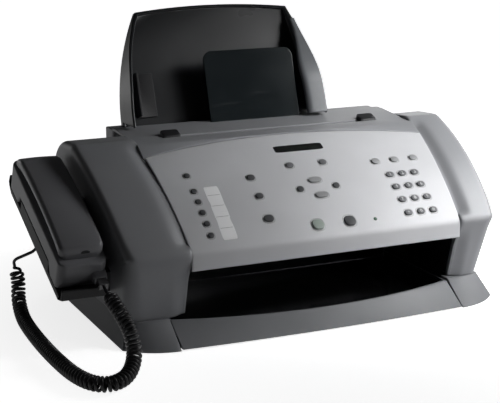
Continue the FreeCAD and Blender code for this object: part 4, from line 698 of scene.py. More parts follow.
class FAX_OT_stage(bpy.types.Operator):
    """Camera, lamps, sky and floor"""

    bl_idname = "fax.stage"
    bl_label = "Stage"

    def execute(self, context):
        stage = context.scene.fax_stage
        context.scene.view_settings.view_transform = "Standard"
        camera = bpy.data.cameras.new("camera")
        camera.sensor_width = SENSOR
        camera.lens = stage.focus * SENSOR
        camera.clip_start, camera.clip_end = 0.05, 50
        context.scene.camera = self.aimed(context, camera, stage.eye, stage.target)
        for name, (level, place, target, sides, spread) in LAMPS.items():
            light = bpy.data.lights.new(name, "AREA")
            light.energy = getattr(stage, level)
            light.shape = "RECTANGLE"
            light.size, light.size_y = sides
            light.spread = math.radians(spread)
            self.aimed(context, light, place, target)
        self.sky(context, stage.sky)
        self.floor(context)
        return {"FINISHED"}

    def aimed(self, context, data, place, target):
        """An object at a place that looks at a target."""
        made = bpy.data.objects.new(data.name, data)
        made.location = place
        way = Vector(target) - Vector(place)
        made.rotation_euler = way.to_track_quat("-Z", "Y").to_euler()
        context.scene.collection.objects.link(made)
        return made

    def sky(self, context, strength):
        """White where the camera looks past the machine; gloss sees a backdrop and a dim room."""
        world = bpy.data.worlds.new("studio")
        context.scene.world = world
        world.use_nodes = True
        tree = world.node_tree
        tree.nodes.clear()
        path = node(tree, "ShaderNodeLightPath").outputs
        way = node(tree, "ShaderNodeTexCoord").outputs["Generated"]
        split = node(tree, "ShaderNodeSeparateXYZ", {"Vector": way}).outputs
        rightwards = arithmetic(tree, "MULTIPLY", split["X"], BACKDROP_SLANT)
        reach = arithmetic(tree, "ADD", split["Y"], rightwards)
        backdrop = ramp(tree, reach, *BACKDROP_REACH, strength, BACKDROP_LEVEL)
        seen, felt, shone = (
            node(tree, "ShaderNodeBackground", {"Color": WHITE, "Strength": level}).outputs[0]
            for level in (1.0, strength, backdrop)
        )
        gloss = arithmetic(tree, "MAXIMUM", path["Is Glossy Ray"], path["Is Transmission Ray"])
        unseen = mix_shaders(tree, gloss, felt, shone)
        surface = mix_shaders(tree, path["Is Camera Ray"], unseen, seen)
        node(tree, "ShaderNodeOutputWorld", {"Surface": surface})

    def floor(self, context):
        """A large even sheet just under z = 0, pale with a little noise and whiter further away."""
        side = np.linspace(-FLOOR_HALF, FLOOR_HALF, 9)
        across, along = np.meshgrid(side, side)
        points, quads = grid(stacked(across, along, -FLOOR_DROP))
        mesh = bpy.data.meshes.new("floor")
        mesh.from_pydata(points.tolist(), [], quads.tolist())
        material, tree = new_material("pale_floor")
        tree.nodes.clear()
        place = object_place(tree)
        pale = tuple(finishes().floor)
        dim = tuple(c * FLOOR_SHADE for c in pale)
        shade = blend_colours(tree, noise(tree, place, 3.0), dim, pale)
        matt = node(tree, "ShaderNodeBsdfDiffuse", {"Color": shade}).outputs["BSDF"]
        measure = node(tree, "ShaderNodeVectorMath", {0: place}, operation="LENGTH")
        whiter = ramp(tree, measure.outputs["Value"], *GLOW_REACH, *GLOW_LEVELS)
        dark, glow = (
            node(tree, "ShaderNodeEmission", {"Strength": level}).outputs["Emission"]
            for level in (0.0, whiter)
        )
        path = node(tree, "ShaderNodeLightPath").outputs
        shown = arithmetic(tree, "MULTIPLY", path["Is Glossy Ray"], GLOW_IN_GLOSS)
        for ray in ("Is Transmission Ray", "Is Camera Ray"):
            shown = arithmetic(tree, "MAXIMUM", shown, path[ray])
        seen = mix_shaders(tree, shown, dark, glow)
        both = node(tree, "ShaderNodeAddShader", {0: matt, 1: seen}).outputs["Shader"]
        node(tree, "ShaderNodeOutputMaterial", {"Surface": both})
        mesh.materials.append(material)
        made = bpy.data.objects.new("floor", mesh)
        context.scene.collection.objects.link(made)


WIRE_SIDES = 10
POINTS_OF_A_CURL, SPARE_POINTS = 26, 120


class FAX_OT_cord(bpy.types.Operator):
    """Curly cord with its plugs, from the handset to the jack under its cradle"""

    bl_idname = "fax.cord"
    bl_label = "Curly cord"

    def execute(self, context):
        sizes = context.scene.fax_cord
        wire, radial = self.wound(self.route(), sizes)
        tangent = unit(np.gradient(wire, axis=0))
        side = unit(radial - (radial * tangent).sum(1, keepdims=True) * tangent)[:, None, :]
        up = np.cross(tangent, side[:, 0])[:, None, :]
        angles = np.linspace(0, 2 * np.pi, WIRE_SIDES, endpoint=False)[None, :, None]
        skin = wire[:, None, :] + sizes.wire / 2 * (np.cos(angles) * side + np.sin(angles) * up)
        surface = grid(skin, wrap_columns=True)
        made = put("curly_cord", surface, plastic("cord_vinyl"), None, ["handset_cord"])
        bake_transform(made)
        plugs = [softened(name) for name in ("handset_plug", "base_plug")]
        return {"FINISHED"}

    def spot(self, distance):
        """A point that far along the way in which the cord gives when the handset is lifted."""
        way = Vector((1.0, -0.15, 0.3))
        return tuple(way * (distance / way.length_squared))

    def route(self):
        """Points along the smooth line through the control points."""
        curve = bpy.data.curves.new("cord_route", "CURVE")
        curve.dimensions = "3D"
        curve.resolution_u = 32
        spline = curve.splines.new("NURBS")
        spline.points.add(len(CORD_ROUTE) - 1)
        controls = np.array([(*point, 1.0) for point in CORD_ROUTE])
        spline.points.foreach_set("co", controls.ravel())
        spline.order_u = 3
        spline.use_endpoint_u = True
        mesh = mesh_of_curve(curve)
        points = corners(mesh)
        bpy.data.meshes.remove(mesh)
        return points

    def wound(self, line, sizes):
        """The wire c(s) + r(s) e(s), and its e(s).

        r grows from nothing at both ends, and e turns about the route as fast as r is wide.
        """
        steps = np.linalg.norm(np.diff(line, axis=0), axis=1)
        travelled = np.concatenate([[0.0], np.cumsum(steps)])
        total = travelled[-1]
        place = np.linspace(0, total, sizes.curls * POINTS_OF_A_CURL + SPARE_POINTS)
        middle = np.stack([np.interp(place, travelled, line[:, k]) for k in range(3)], axis=-1)
        tangent = unit(np.gradient(middle, axis=0))

        def carry(normal, direction):
            rest = normal - normal.dot(direction) * direction
            return rest / np.linalg.norm(rest)

        first = np.array((1.0, 0.0, 0.0))
        normal = np.array(list(itertools.accumulate(tangent, carry, initial=first)))[1:]
        across = np.cross(tangent, normal)
        last = total - sizes.end
        grown, shrunk = (place - sizes.start) / sizes.swell, (last - place) / sizes.swell
        swell = smooth(grown) * smooth(shrunk)
        angle = 2 * np.pi * sizes.curls * np.cumsum(swell) / swell.sum()
        radial = np.cos(angle)[:, None] * normal + np.sin(angle)[:, None] * across
        return middle + (sizes.curl * swell)[:, None] * radial, radial


FASCIA_BLEND = 0.0030
RIM_STEPS = np.array([0.0, 0.0004, 0.0012, 0.0024, 0.004])
SKIRT_INSET, SKIRT_END, SKIRT_DROP = 0.0002, 0.004, (0.0008, 0.0075)
RIM_OFFSETS = np.array([1.45, 1.30, 1.05, 0.75, 0.50, 0.34, 0.30, 0.30])[:, None] * MM
RIM_HEIGHTS = np.array([-0.06, 0.10, 0.17, 0.16, 0.08, -0.10, -0.50, -2.20])[:, None] * MM


class FAX_OT_panel(bpy.types.Operator):
    """Curved control panel with its fascia and the rims round its keys"""

    bl_idname = "fax.panel"
    bl_label = "Control panel"

    def execute(self, context):
        sizes = context.scene.fax_panel
        silver = plastic("silver_paint")
        skin = grid(self.skin(sizes))
        made = put("control_panel_skin", skin, silver, "panel", ["control_panel"], False, 60.0)
        thicken(made, sizes.wall)
        # black strips just inside the panel's side edges: painted shade on its side walls
        skirts = joined([self.skirt(sizes, -1), self.skirt(sizes, 1)[:, ::-1]])
        put("panel_skirts", skirts, plastic("gloss_black"), "panel", closed=False)
        rims = joined([self.rim(key_place(name)) for name in key_nodes()])
        put("key_rims", rims, plastic("rim_silver"), "panel", closed=False)
        return {"FINISHED"}

    def profile(self, along, sizes):
        """Height line: t < 0 goes down the fascia, t > 0 up the arc; the corner is averaged."""
        t = along[..., None] + np.linspace(-FASCIA_BLEND, FASCIA_BLEND, 13)
        u = np.maximum(t, 0.0)
        h = panel_rise(np.clip(u, 0, sizes.chord))
        down = np.maximum(-t, 0.0)
        u = u - down * math.sin(sizes.slope)
        h = h - down * math.cos(sizes.slope)
        return u.mean(-1), h.mean(-1)

    def skin(self, sizes):
        """A grid from edge to edge and from the fascia's foot to the curved back, its rim round."""
        across, up = np.linspace(0, 1, 141), np.linspace(0, 1, 91)
        across = np.unique(np.concatenate([RIM_STEPS, across, 1 - RIM_STEPS]))
        up = np.unique(np.concatenate([RIM_STEPS * 2, up, 1 - RIM_STEPS * 2]))
        middle = (sizes.right_rear - sizes.left_rear) / 2
        half = (sizes.right_rear + sizes.left_rear) / 2
        sag = sizes.chord - sizes.gap - sizes.corner
        radius = (half * half + sag * sag) / (2 * sag)
        rear_x = -sizes.left_rear + 2 * half * across
        rear = np.sqrt(radius**2 - (rear_x - middle) ** 2) - (radius - sag) + sizes.corner
        t = -sizes.fascia + up[:, None] * (rear[None, :] + sizes.fascia)
        share = np.clip(t, 0, None) / sizes.corner
        left = -(sizes.left_front + (sizes.left_rear - sizes.left_front) * share)
        right = sizes.right_front + (sizes.right_rear - sizes.right_front) * share
        x = left + (right - left) * across[None, :]
        u, h = self.profile(t, sizes)
        to_edge = np.minimum.reduce(
            [x - left, right - x, rear[None, :] - t + 0 * x, t + sizes.fascia + 0 * x]
        )
        r = sizes.edge
        depth = r - np.sqrt(np.clip(r * r - np.clip(r - to_edge, 0, r) ** 2, 0, None))
        # the rim sinks square to the surface: back along the fascia, down on the sloping face
        facing = smooth((t + FASCIA_BLEND) / (2 * FASCIA_BLEND))
        u = u + depth * (1 - facing) * math.cos(sizes.slope)
        h = h - depth * facing - depth * (1 - facing) * math.sin(sizes.slope)
        return panel_to_frame(x, u, h)

    def skirt(self, sizes, side):
        """A dark strip that follows the line of the panel's side edge and hangs straight down:
        painted shade on the panel's side wall.
        """
        t = np.linspace(SKIRT_END, sizes.corner - SKIRT_END, 60)
        front, rear = sizes.right_front, sizes.right_rear
        if side < 0:
            front, rear = sizes.left_front, sizes.left_rear
        x = side * (front + (rear - front) * (t / sizes.corner) - SKIRT_INSET)
        h = panel_rise(t)[:, None] - np.linspace(*SKIRT_DROP, 6)[None, :]
        return panel_to_frame(x[:, None], t[:, None], h)

    def rim(self, key):
        """A low ring round a key: offsets from the key's edge against heights over the panel."""
        x, u, half_width, half_length, top, low = key
        across, along = rings(half_width + RIM_OFFSETS, half_length + RIM_OFFSETS, 41)
        rise = panel_rise(u + along) + RIM_HEIGHTS
        return panel_to_frame(x + across, u + along, rise)


KEY_SHADES = {
    "start": "key_pale", "dial_key": "key_grey", "menu_key": "key_grey",
    "function_key": "key_light", "arrow_key_up": "key_light", "arrow_key_down": "key_light",
}
SIGNS = {"star": "*", "hash": "#"}
SIGN_SIZE, SIGN_HEIGHT = 5.2 * MM, 0.05 * MM
SIGN_LIFT, SIGN_SAG = 0.13, 0.06
KEY_FACE = 0.0002
KEY_RISE, KEY_STEM = 6.1 * MM, 1.2 * MM
KEY_PLATE, KEY_REACH = 1.0 * MM, 1.0 * MM

# the key's wall and dome: (share of the half sizes, offset, height from its top in millimetres)

KEY_DOME = [
    (1.0, 0.0, -0.80), (1.0, -0.08, -0.42), (1.0, -0.30, -0.14), (1.0, -0.62, -0.02),
    (0.72, -0.4, 0.06), (0.4, 0.0, 0.10), (0.0, 0.0, 0.12),
]


def key_nodes():
    return sorted(name for name in frame["nodes"] if "_key" in name and name != "key_label_insert")


def key_place(name):
    """Middle, half sizes, top and foot of a key in the panel's frame, read from its solid."""
    points = frame_to_panel(corners(frame["nodes"][name].data))
    top = points[:, 2].max()
    cap = points[points[:, 2] > top - KEY_FACE]
    low, high = cap.min(0), cap.max(0)
    x, u = ((low + high) / 2)[:2]
    half_width, half_length = ((high - low) / 2)[:2]
    return x, u, half_width, half_length, top, points[:, 2].min()


class FAX_OT_keys(bpy.types.Operator):
    """Keys with domed caps, and plain numbers on the dial keys"""

    bl_idname = "fax.keys"
    bl_label = "Keys"

    def execute(self, context):
        for name in key_nodes():
            key = key_place(name)
            body = body_of_node(name)
            put(name + "_cap", grid(self.cap(key)), self.finish_of(name), body, [name])
            if name.startswith("dial_key_"):
                sign = name.removeprefix("dial_key_")
                self.number(name + "_number", SIGNS.get(sign, sign), key, body)
        return {"FINISHED"}

    def finish_of(self, name):
        """Each group of keys has its own grey; the start key is pale."""
        group = name.rsplit("_", 1)[0]
        return plastic(KEY_SHADES.get(name, KEY_SHADES.get(group, "key_dark")))

    def cap(self, key):
        """Rings (half size times scale plus offset) against heights: stem, plate, wall and dome."""
        x, u, half_width, half_length, top, low = key
        plate = top - KEY_RISE - KEY_PLATE
        rows = np.array([
            (0.0, 0.0, low), (0.0, KEY_STEM, low), (0.0, KEY_STEM, plate), (1.0, KEY_REACH, plate),
            (1.0, KEY_REACH, plate + KEY_PLATE), (1.0, 0.0, plate + KEY_PLATE),
            *((share, offset * MM, top + height * MM) for share, offset, height in KEY_DOME),
        ])
        scale, offset, height = rows[:, :1], rows[:, 1:2], rows[:, 2:]
        across, along = rings(half_width * scale + offset, half_length * scale + offset, 33, 2.5)
        return panel_to_frame(x + across, u + along, height)

    def number(self, name, sign, key, body):
        """A sign laid on a key's dome, its middle on the key's middle."""
        x, u, half_width, half_length, top, low = key
        text = bpy.data.curves.new(name + "_flat", "FONT")
        text.body = sign
        text.size = SIGN_SIZE
        text.extrude = SIGN_HEIGHT
        text.align_x = "CENTER"
        text.align_y = "CENTER"
        text.resolution_u = 4
        mesh = mesh_of_curve(text)
        co = corners(mesh)
        middle = (co.min(0) + co.max(0)) / 2
        co = co - [middle[0], middle[1], 0]
        spread = np.hypot(co[:, 0] / half_width, co[:, 1] / half_length)
        height = top + (SIGN_LIFT - SIGN_SAG * spread) * MM + co[:, 2]
        move_corners(mesh, panel_to_frame(x + co[:, 0], u + co[:, 1], height))
        mesh.name = name
        place_mesh(name, mesh, plastic("key_ink"), body, sharp=30.0)


# Inserts of the panel: (x, u, half width, half length) in millimetres and the power of their rings

WINDOW = (20.5, 114.5, 27.0, 5.0, 9.0)
SCREEN = (20.5, 114.5, 22.5, 2.9, 12.0)
LABEL = (-91.0, 41.5, 7.5, 31.5, 14.0)
RULES = [(-91.0, 23.0 + 13.0 * k, 6.4, 0.16, 8.0) for k in range(4)]
STATUS_LAMP = (63.9, 13.4, 1.5, 1.5, 2.0)

# and their rings from the outside in: (share of the half sizes, offset, height over the panel)

WINDOW_ROWS = [
    (1.0, 0.0, -0.60), (1.0, 0.0, 0.10), (1.0, -0.12, 0.24), (1.0, -0.40, 0.30),
    *((share, -0.40 * share, 0.30) for share in (0.85, 0.6, 0.3, 0.0)),
]
SCREEN_ROWS = [(1.0, 0.0, 0.30), (1.0, -0.1, 0.325), (0.6, 0.0, 0.325), (0.0, 0.0, 0.325)]
LABEL_ROWS = [
    (1.0, 0.0, -0.40), (1.0, 0.0, 0.05), (1.0, -0.15, 0.12),
    (0.9, 0.0, 0.12), (0.5, 0.0, 0.12), (0.0, 0.0, 0.12),
]
RULE_ROWS = [(1.0, 0.0, 0.10), (1.0, 0.0, 0.15), (0.5, 0.0, 0.15), (0.0, 0.0, 0.15)]
LAMP_ROWS = [
    (1.0, 0.5, 0.0), (1.0, 0.35, 0.25), (1.0, 0.0, 0.3),
    (1.0, -0.15, 0.55), (0.6, 0.0, 0.85), (0.0, 0.0, 1.0),
]


class FAX_OT_inserts(bpy.types.Operator):
    """Display window, key label and the small lamp on the panel"""

    bl_idname = "fax.inserts"
    bl_label = "Panel inserts"

    def execute(self, context):
        window = grid(self.patch(WINDOW, WINDOW_ROWS))
        put("display_window_pane", window, plastic("window_gloss"), "panel", ["display_window"])
        screen = grid(self.patch(SCREEN, SCREEN_ROWS))
        put("display_screen", screen, plastic("display_screen"), "panel")
        label = grid(self.patch(LABEL, LABEL_ROWS))
        put("key_label_strip", label, plastic("label_strip"), "panel", ["key_label_insert"])
        rules = joined([self.patch(rule, RULE_ROWS) for rule in RULES])
        put("key_label_rules", rules, plastic("rule_grey"), "panel")
        lamp = grid(self.patch(STATUS_LAMP, LAMP_ROWS))
        put("status_lamp", lamp, plastic("lamp_green"), "panel")
        return {"FINISHED"}

    def patch(self, place, rows):
        """Rings (half size times share plus offset) against heights over the panel's curve."""
        x, u, half_width, half_length, power = place
        rows = np.array(rows)
        share, offset, height = rows[:, :1], rows[:, 1:2] * MM, rows[:, 2:] * MM
        across, along = rings(
            half_width * MM * share + offset, half_length * MM * share + offset, 97, power
        )
        rise = panel_rise(u * MM + along) + height
        return panel_to_frame(x * MM + across, u * MM + along, rise)


# Side covers: side, inner edge at the front and at the back of the panel

COVERS = {"left_side_cover": (-1, 0.1342, 0.1422), "right_side_cover": (1, 0.1572, 0.1672)}
COVER_WALL = 0.0022

# and their side view (y, z): foot of the pillar, arc over the top, arc down the back, rear foot

PILLAR_FOOT, REAR_FOOT = (-0.085, BASE_TOP), (0.104, BASE_TOP)
TOP_MIDDLE, TOP_REAR = (-0.03935, 0.126), (0.024, 0.167)
TOP_SWELL = 0.0092
BACK_ARC = ((0.054, 0.165), (0.090, 0.1435), (0.104, 0.100))
COVER_HEIGHT = 0.150
COVER_LEAN = 0.04214
BOW_MIDDLE, BOW_REACH = 0.035, 0.111
PANEL_REACH = PANEL_FRONT - 0.00387
LIP_DEPTHS = np.array([6.0, 1.2, 0.6, 0.2, 0.0]) * MM
LIP_STEPS = np.array([0.0, 0.0, 0.15, 0.5, 1.1]) * MM
PILLAR_TOP, PILLAR_FADE = 0.100, 0.03
VALLEY_WIDTH = 0.014
VALLEY_FRONT, VALLEY_FRONT_FADE = -0.1020, 0.008
VALLEY_REAR, VALLEY_REAR_FADE = 0.020, 0.015
SPINE_SHARE, SPINE_ENDS = 0.75, (-0.06, 0.08)


class FAX_OT_covers(bpy.types.Operator):
    """Side covers with their front pillars"""

    bl_idname = "fax.covers"
    bl_label = "Side covers"

    def execute(self, context):
        for name, (side, inner_front, inner_rear) in COVERS.items():
            points = self.skin(context.scene.fax_cover, side, inner_front, inner_rear)
            surface = grid(points[:, ::-side])
            made = put(
                name + "_skin", surface, plastic("grey_casing"), "housing", [name], False, 70.0
            )
            thicken(made, COVER_WALL)
        return {"FINISHED"}

    def arc(self, first, through, last, count):
        """Points on the circle through three points, evenly from the first to the last."""
        a, b, c = (complex(*point) for point in (first, through, last))
        w = (c - a) / (b - a)
        middle = (b - a) * (w - abs(w) ** 2) / (2j * w.imag) + a
        start, end = np.angle(a - middle), np.angle(c - middle)
        turn = np.angle(np.exp(1j * (end - start)))
        angles = start + turn * np.linspace(0, 1, count)
        spots = middle + abs(a - middle) * np.exp(1j * angles)
        return np.stack([spots.real, spots.imag], axis=-1)

    def outline(self):
        """Side view (y, z) from the pillar's foot over the top and down the back, in even steps."""
        y = TOP_MIDDLE[0] - TOP_SWELL * math.sin(PANEL_SLOPE)
        z = TOP_MIDDLE[1] + TOP_SWELL * math.cos(PANEL_SLOPE)
        top = self.arc((-PANEL_FRONT, PANEL_LIP), (y, z), TOP_REAR, 60)
        points = np.concatenate([[PILLAR_FOOT], top, self.arc(*BACK_ARC, 40), [REAR_FOOT]])
        lengths = np.linalg.norm(np.diff(points, axis=0), axis=1)
        steps = np.concatenate([[0], np.cumsum(lengths)])
        even = np.linspace(0, steps[-1], 260)
        line = np.stack([np.interp(even, steps, points[:, k]) for k in (0, 1)], axis=-1)
        window = np.array([1, 2, 3, 2, 1]) / 9
        inner = [np.convolve(line[:, k], window, "valid") for k in (0, 1)]
        return np.concatenate([line[:2], np.stack(inner, axis=-1), line[-2:]])

    def side_at(self, y, z, sizes, side):
        """Half width at a point of the side view: it leans out with height and bows along y."""
        share = (z - BASE_TOP) / COVER_HEIGHT
        spread = sizes.right_spread if side > 0 else sizes.spread
        base_y = y + COVER_LEAN * share
        bow = sizes.bow * (1 - np.clip((base_y - BOW_MIDDLE) / BOW_REACH, -1, 1) ** 2)
        return sizes.foot + spread * share + bow

    def skin(self, sizes, side, inner_front, inner_rear):
        """A profile along the side view: inner edge, top strip, round rim, side to its foot."""
        line = self.outline()
        tangent = unit(np.gradient(line, axis=0))
        inward = np.stack([tangent[:, 1], -tangent[:, 0]], axis=-1)
        y, z = line[:, 0], line[:, 1]
        share = np.clip((y + PANEL_FRONT) / PANEL_REACH, 0, 1)
        inner = inner_front + (inner_rear - inner_front) * share
        inner = np.where(z < PANEL_LIP, np.where(y < 0, inner_front, inner_rear), inner)
        pillar = smooth((PILLAR_TOP - z) / PILLAR_FADE) * (y < 0)
        radius = sizes.rim + (sizes.pillar - sizes.rim) * pillar
        outer = self.side_at(y, z, sizes, side)
        # the top strip dips beside the panel, so that the panel's edge stands proud of it
        valley = sizes.valley * smooth((y - VALLEY_FRONT) / VALLEY_FRONT_FADE)
        valley = valley * smooth((VALLEY_REAR - y) / VALLEY_REAR_FADE)
        columns = [inner + step for step in LIP_STEPS]
        depths = [np.maximum(valley, depth) for depth in LIP_DEPTHS]
        for part_way in np.linspace(0, 1, 13)[1:]:
            begin = inner + LIP_STEPS[-1]
            columns.append(begin + (outer - radius - inner - LIP_STEPS[-1]) * part_way)
            depths.append(valley * (1 - smooth((columns[-1] - inner) / VALLEY_WIDTH)))
        for angle in np.linspace(0, np.pi / 2, 11)[1:]:
            depth = radius * (1 - math.cos(angle))
            at = line + inward * depth[:, None]
            wide = self.side_at(at[:, 0], at[:, 1], sizes, side)
            columns.append(wide - radius * (1 - math.sin(angle)))
            depths.append(depth)
        x, sunk = np.stack(columns, axis=1), np.stack(depths, axis=1)
        places = line[:, None, :] + inward[:, None, :] * sunk[..., None]
        rim = np.concatenate([side * x[..., None], places], axis=-1)
        # the side itself runs from the rim to a line at the base
        edge = line + inward * radius[:, None]
        spine_y = np.clip(edge[:, 0] * SPINE_SHARE, *SPINE_ENDS)
        spine = np.stack([spine_y, np.full_like(y, BASE_TOP)], axis=-1)
        ways = np.linspace(0, 1, 13)[1:]
        flat = edge[:, None, :] + (spine - edge)[:, None, :] * ways[None, :, None]
        wide = self.side_at(flat[..., 0], flat[..., 1], sizes, side)
        wall = np.concatenate([side * wide[..., None], flat], axis=-1)
        whole = np.concatenate([rim, wall], axis=1)
        whole[..., 2] = np.maximum(whole[..., 2], BASE_TOP)
        return whole


# Document guides in the slot's end notches, dark as painted shade of the notches; rings: (share,
# height in mm, share of the rise)

NOTCHES, NOTCH_Y, NOTCH_REACH = (-0.098, 0.125), 0.037, (0.014, 0.010)
WEDGE_HALVES, WEDGE_RISE = (0.0096, 0.0056), 0.0042
WEDGE_ROWS = [(1.0, -4.0, 0.0), (1.0, 0.2, 0.7), (0.94, 0.6, 1.0), (0.5, 0.6, 1.0), (0.0, 0.6, 1.0)]


class FAX_OT_deck(bpy.types.Operator):
    """Deck behind the panel with the document slot"""

    bl_idname = "fax.deck"
    bl_label = "Deck"

    def execute(self, context):
        softened("top_deck")
        guides = joined([self.guide(x) for x in NOTCHES])
        put("document_guides", guides, plastic("matt_black"), "housing")
        return {"FINISHED"}

    def guide(self, x):
        """A dark wedge in a finger notch of the slot, painted shade of the notch: it rises from
        front to back.
        """
        points = corners(frame["nodes"]["top_deck"].data)
        near = (np.abs(points[:, :2] - (x, NOTCH_Y)) < NOTCH_REACH).all(1)
        level = points[near, 2].max()
        rows = np.array(WEDGE_ROWS)
        half_width, half_length = (half * rows[:, :1] for half in WEDGE_HALVES)
        across, along = rings(half_width, half_length, 65, 6.0)
        back = (along + WEDGE_HALVES[1]) / (2 * WEDGE_HALVES[1])
        rise = rows[:, 1:2] * MM + rows[:, 2:] * WEDGE_RISE * back
        return stacked(x + across, NOTCH_Y + along, level + rise)


# Paper tray, in its own axes: across, towards the front, up its lean

TRAY_BACK = 0.004
WING_TAPER, WING_TAPER_FROM, WING_TAPER_OVER = 0.72, 0.045, 0.085
WING_FROM, WING_FACING = 0.07, 0.7
RIGHT_EDGE = (0.106, 0.045, -1.114)
GUIDE_FROM, GUIDE_TO = 0.013, 0.1215
GUIDE_INSET, GUIDE_SINK = 0.0006, 0.0004
GUIDE_TAPER, GUIDE_TAPER_FROM, GUIDE_TAPER_OVER = 0.8, 0.055, 0.0665
GUIDE_WALL, GUIDE_ROLL, ROLL_FROM, ROLL_OVER = 0.0018, 0.0030, 0.8, 0.2
GUSSET_FOOT, GUSSET_TOP, GUSSET_RISE = 0.0265, 0.072, 0.0455
GUSSET_WIDTH, GUSSET_LEAST, GUSSET_INSET = 0.017, 0.0008, 0.0004
GUSSET_DEPTH, GUSSET_HALF_WALL = 0.0028, 0.0022


class FAX_OT_tray(bpy.types.Operator):
    """Rear paper tray, its width guide and the document support"""

    bl_idname = "fax.tray"
    bl_label = "Paper tray"

    def execute(self, context):
        dark, wing_painted_light = plastic("tray_plastic"), plastic("tray_wing_satin")
        # the inward faces of the wings and the edge guide take a far lighter grey than the tray:
        # painted light
        made = softened("paper_tray", wing_painted_light, self.wing_insides)
        self.taper(made.data)
        made = put("tray_edge_guide", grid(self.edge_guide()), wing_painted_light, "housing", closed=False)
        thicken(made, GUIDE_WALL)
        put("tray_gusset", grid(capped(self.gusset())), dark, "housing")
        softened("paper_width_guide")
        softened("document_support")
        return {"FINISHED"}

    def taper(self, mesh):
        """Draws the wings of the tray's copy in towards their tops."""
        sizes = bpy.context.scene.fax_tray
        offset = corners(mesh) - np.array(sizes.place)
        cosine, sine = math.cos(sizes.lean), math.sin(sizes.lean)
        depth = offset[:, 2] * sine - offset[:, 1] * cosine
        up = offset[:, 1] * sine + offset[:, 2] * cosine
        move_corners(mesh, self.to_frame(offset[:, 0], depth, up))
        mesh.update()

    def to_frame(self, x, depth, up):
        """Tray's own axes to the frame; its wings get shallower to their tops."""
        sizes = bpy.context.scene.fax_tray
        cosine, sine = math.cos(sizes.lean), math.sin(sizes.lean)
        kept = 1 - WING_TAPER * smooth((up - WING_TAPER_FROM) / WING_TAPER_OVER)
        depth = np.where(depth > TRAY_BACK, TRAY_BACK + (depth - TRAY_BACK) * kept, depth)
        y = sizes.place[1] - depth * cosine + up * sine
        z = sizes.place[2] + depth * sine + up * cosine
        return stacked(sizes.place[0] + x, y, z)

    def right_edge(self, up):
        """Right edge of the tray: a parabola a + b u + c u^2 by its foot, middle and top corner."""
        foot, slope, bend = RIGHT_EDGE
        return foot + slope * up + bend * up**2

    def edge_guide(self):
        """A strip that turns in from the right wing's front edge, its inner edge rolled back."""
        sizes = bpy.context.scene.fax_tray
        up = np.linspace(GUIDE_FROM, GUIDE_TO, 60)[:, None]
        way = np.linspace(0, 1, 14)[None, :]
        roll = np.clip((way - ROLL_FROM) / ROLL_OVER, 0, 1) ** 2
        narrow = GUIDE_TAPER * smooth((up - GUIDE_TAPER_FROM) / GUIDE_TAPER_OVER)
        across = self.right_edge(up) - GUIDE_INSET - sizes.guide * (1 - narrow) * way
        return self.to_frame(across, sizes.wing - GUIDE_SINK - GUIDE_ROLL * roll, up)

    def gusset(self):
        """Dark brace beside the tray's right foot: a rounded section that shrinks to its top."""
        up = np.linspace(GUSSET_FOOT, GUSSET_TOP, 16)[:, None]
        wide = np.maximum(GUSSET_WIDTH * (GUSSET_TOP - up) / GUSSET_RISE, GUSSET_LEAST)
        across, deep = rings(wide / 2, GUSSET_HALF_WALL, 41, 6.0)
        middle = self.right_edge(up) + wide / 2 - GUSSET_INSET
        return self.to_frame(middle + across, GUSSET_DEPTH + deep, up)

    def wing_insides(self, middles, normals):
        # faces of the wings that look inwards, which get the painted light
        inward = (np.abs(normals[:, 0]) > WING_FACING) & (normals[:, 0] * middles[:, 0] < 0)
        return inward & (np.abs(middles[:, 0]) > WING_FROM)


LEVEL, PAN_FLOOR = 0.9, 0.012
LIP_FACING, LIP_FLOOR, LIP_BACK = 0.3, 0.015, -0.084
CHEEKS = (-0.1365, 0.1570)
CHEEK_FOOT, CHEEK_TOP, CHEEK_BACK = 0.0225, 0.074, -0.004
CHEEK_FRONT, CHEEK_LEAN = -0.0832, 0.281


class FAX_OT_base(bpy.types.Operator):
    """Base pan, output tray, the mouth's cheeks and rubber feet"""

    bl_idname = "fax.base"
    bl_label = "Base"

    def execute(self, context):
        # the pan's inner floor, the output tray behind its lip and the sheets beside the mouth are
        # gloss black: painted shade inside the mouth
        dark = plastic("gloss_black")
        softened("base_pan", dark, self.inside)
        softened("output_tray", dark, self.behind_lip)
        cheeks = joined([self.cheek(x) for x in CHEEKS])
        put("mouth_cheeks", cheeks, dark, "housing", closed=False)
        softened("rubber_feet")
        return {"FINISHED"}

    def inside(self, middles, normals):
        return (normals[:, 2] > LEVEL) & (middles[:, 2] < PAN_FLOOR)

    def behind_lip(self, middles, normals):
        low = (normals[:, 2] > LEVEL) & (middles[:, 2] < LIP_FLOOR)
        return (normals[:, 1] > LIP_FACING) | low | (middles[:, 1] > LIP_BACK)

    def cheek(self, x):
        """An upright sheet beside the mouth whose front edge leans with the pillar; it is dark,
        painted shade of the mouth.
        """
        up = np.linspace(CHEEK_FOOT, CHEEK_TOP, 12)[:, None]
        front = CHEEK_FRONT - CHEEK_LEAN * (up - BASE_TOP)
        y = front + (CHEEK_BACK - front) * np.linspace(0, 1, 12)[None, :]
        return stacked(x, y, up)


# Handset, in its own axes: across, up its slope, out of its face

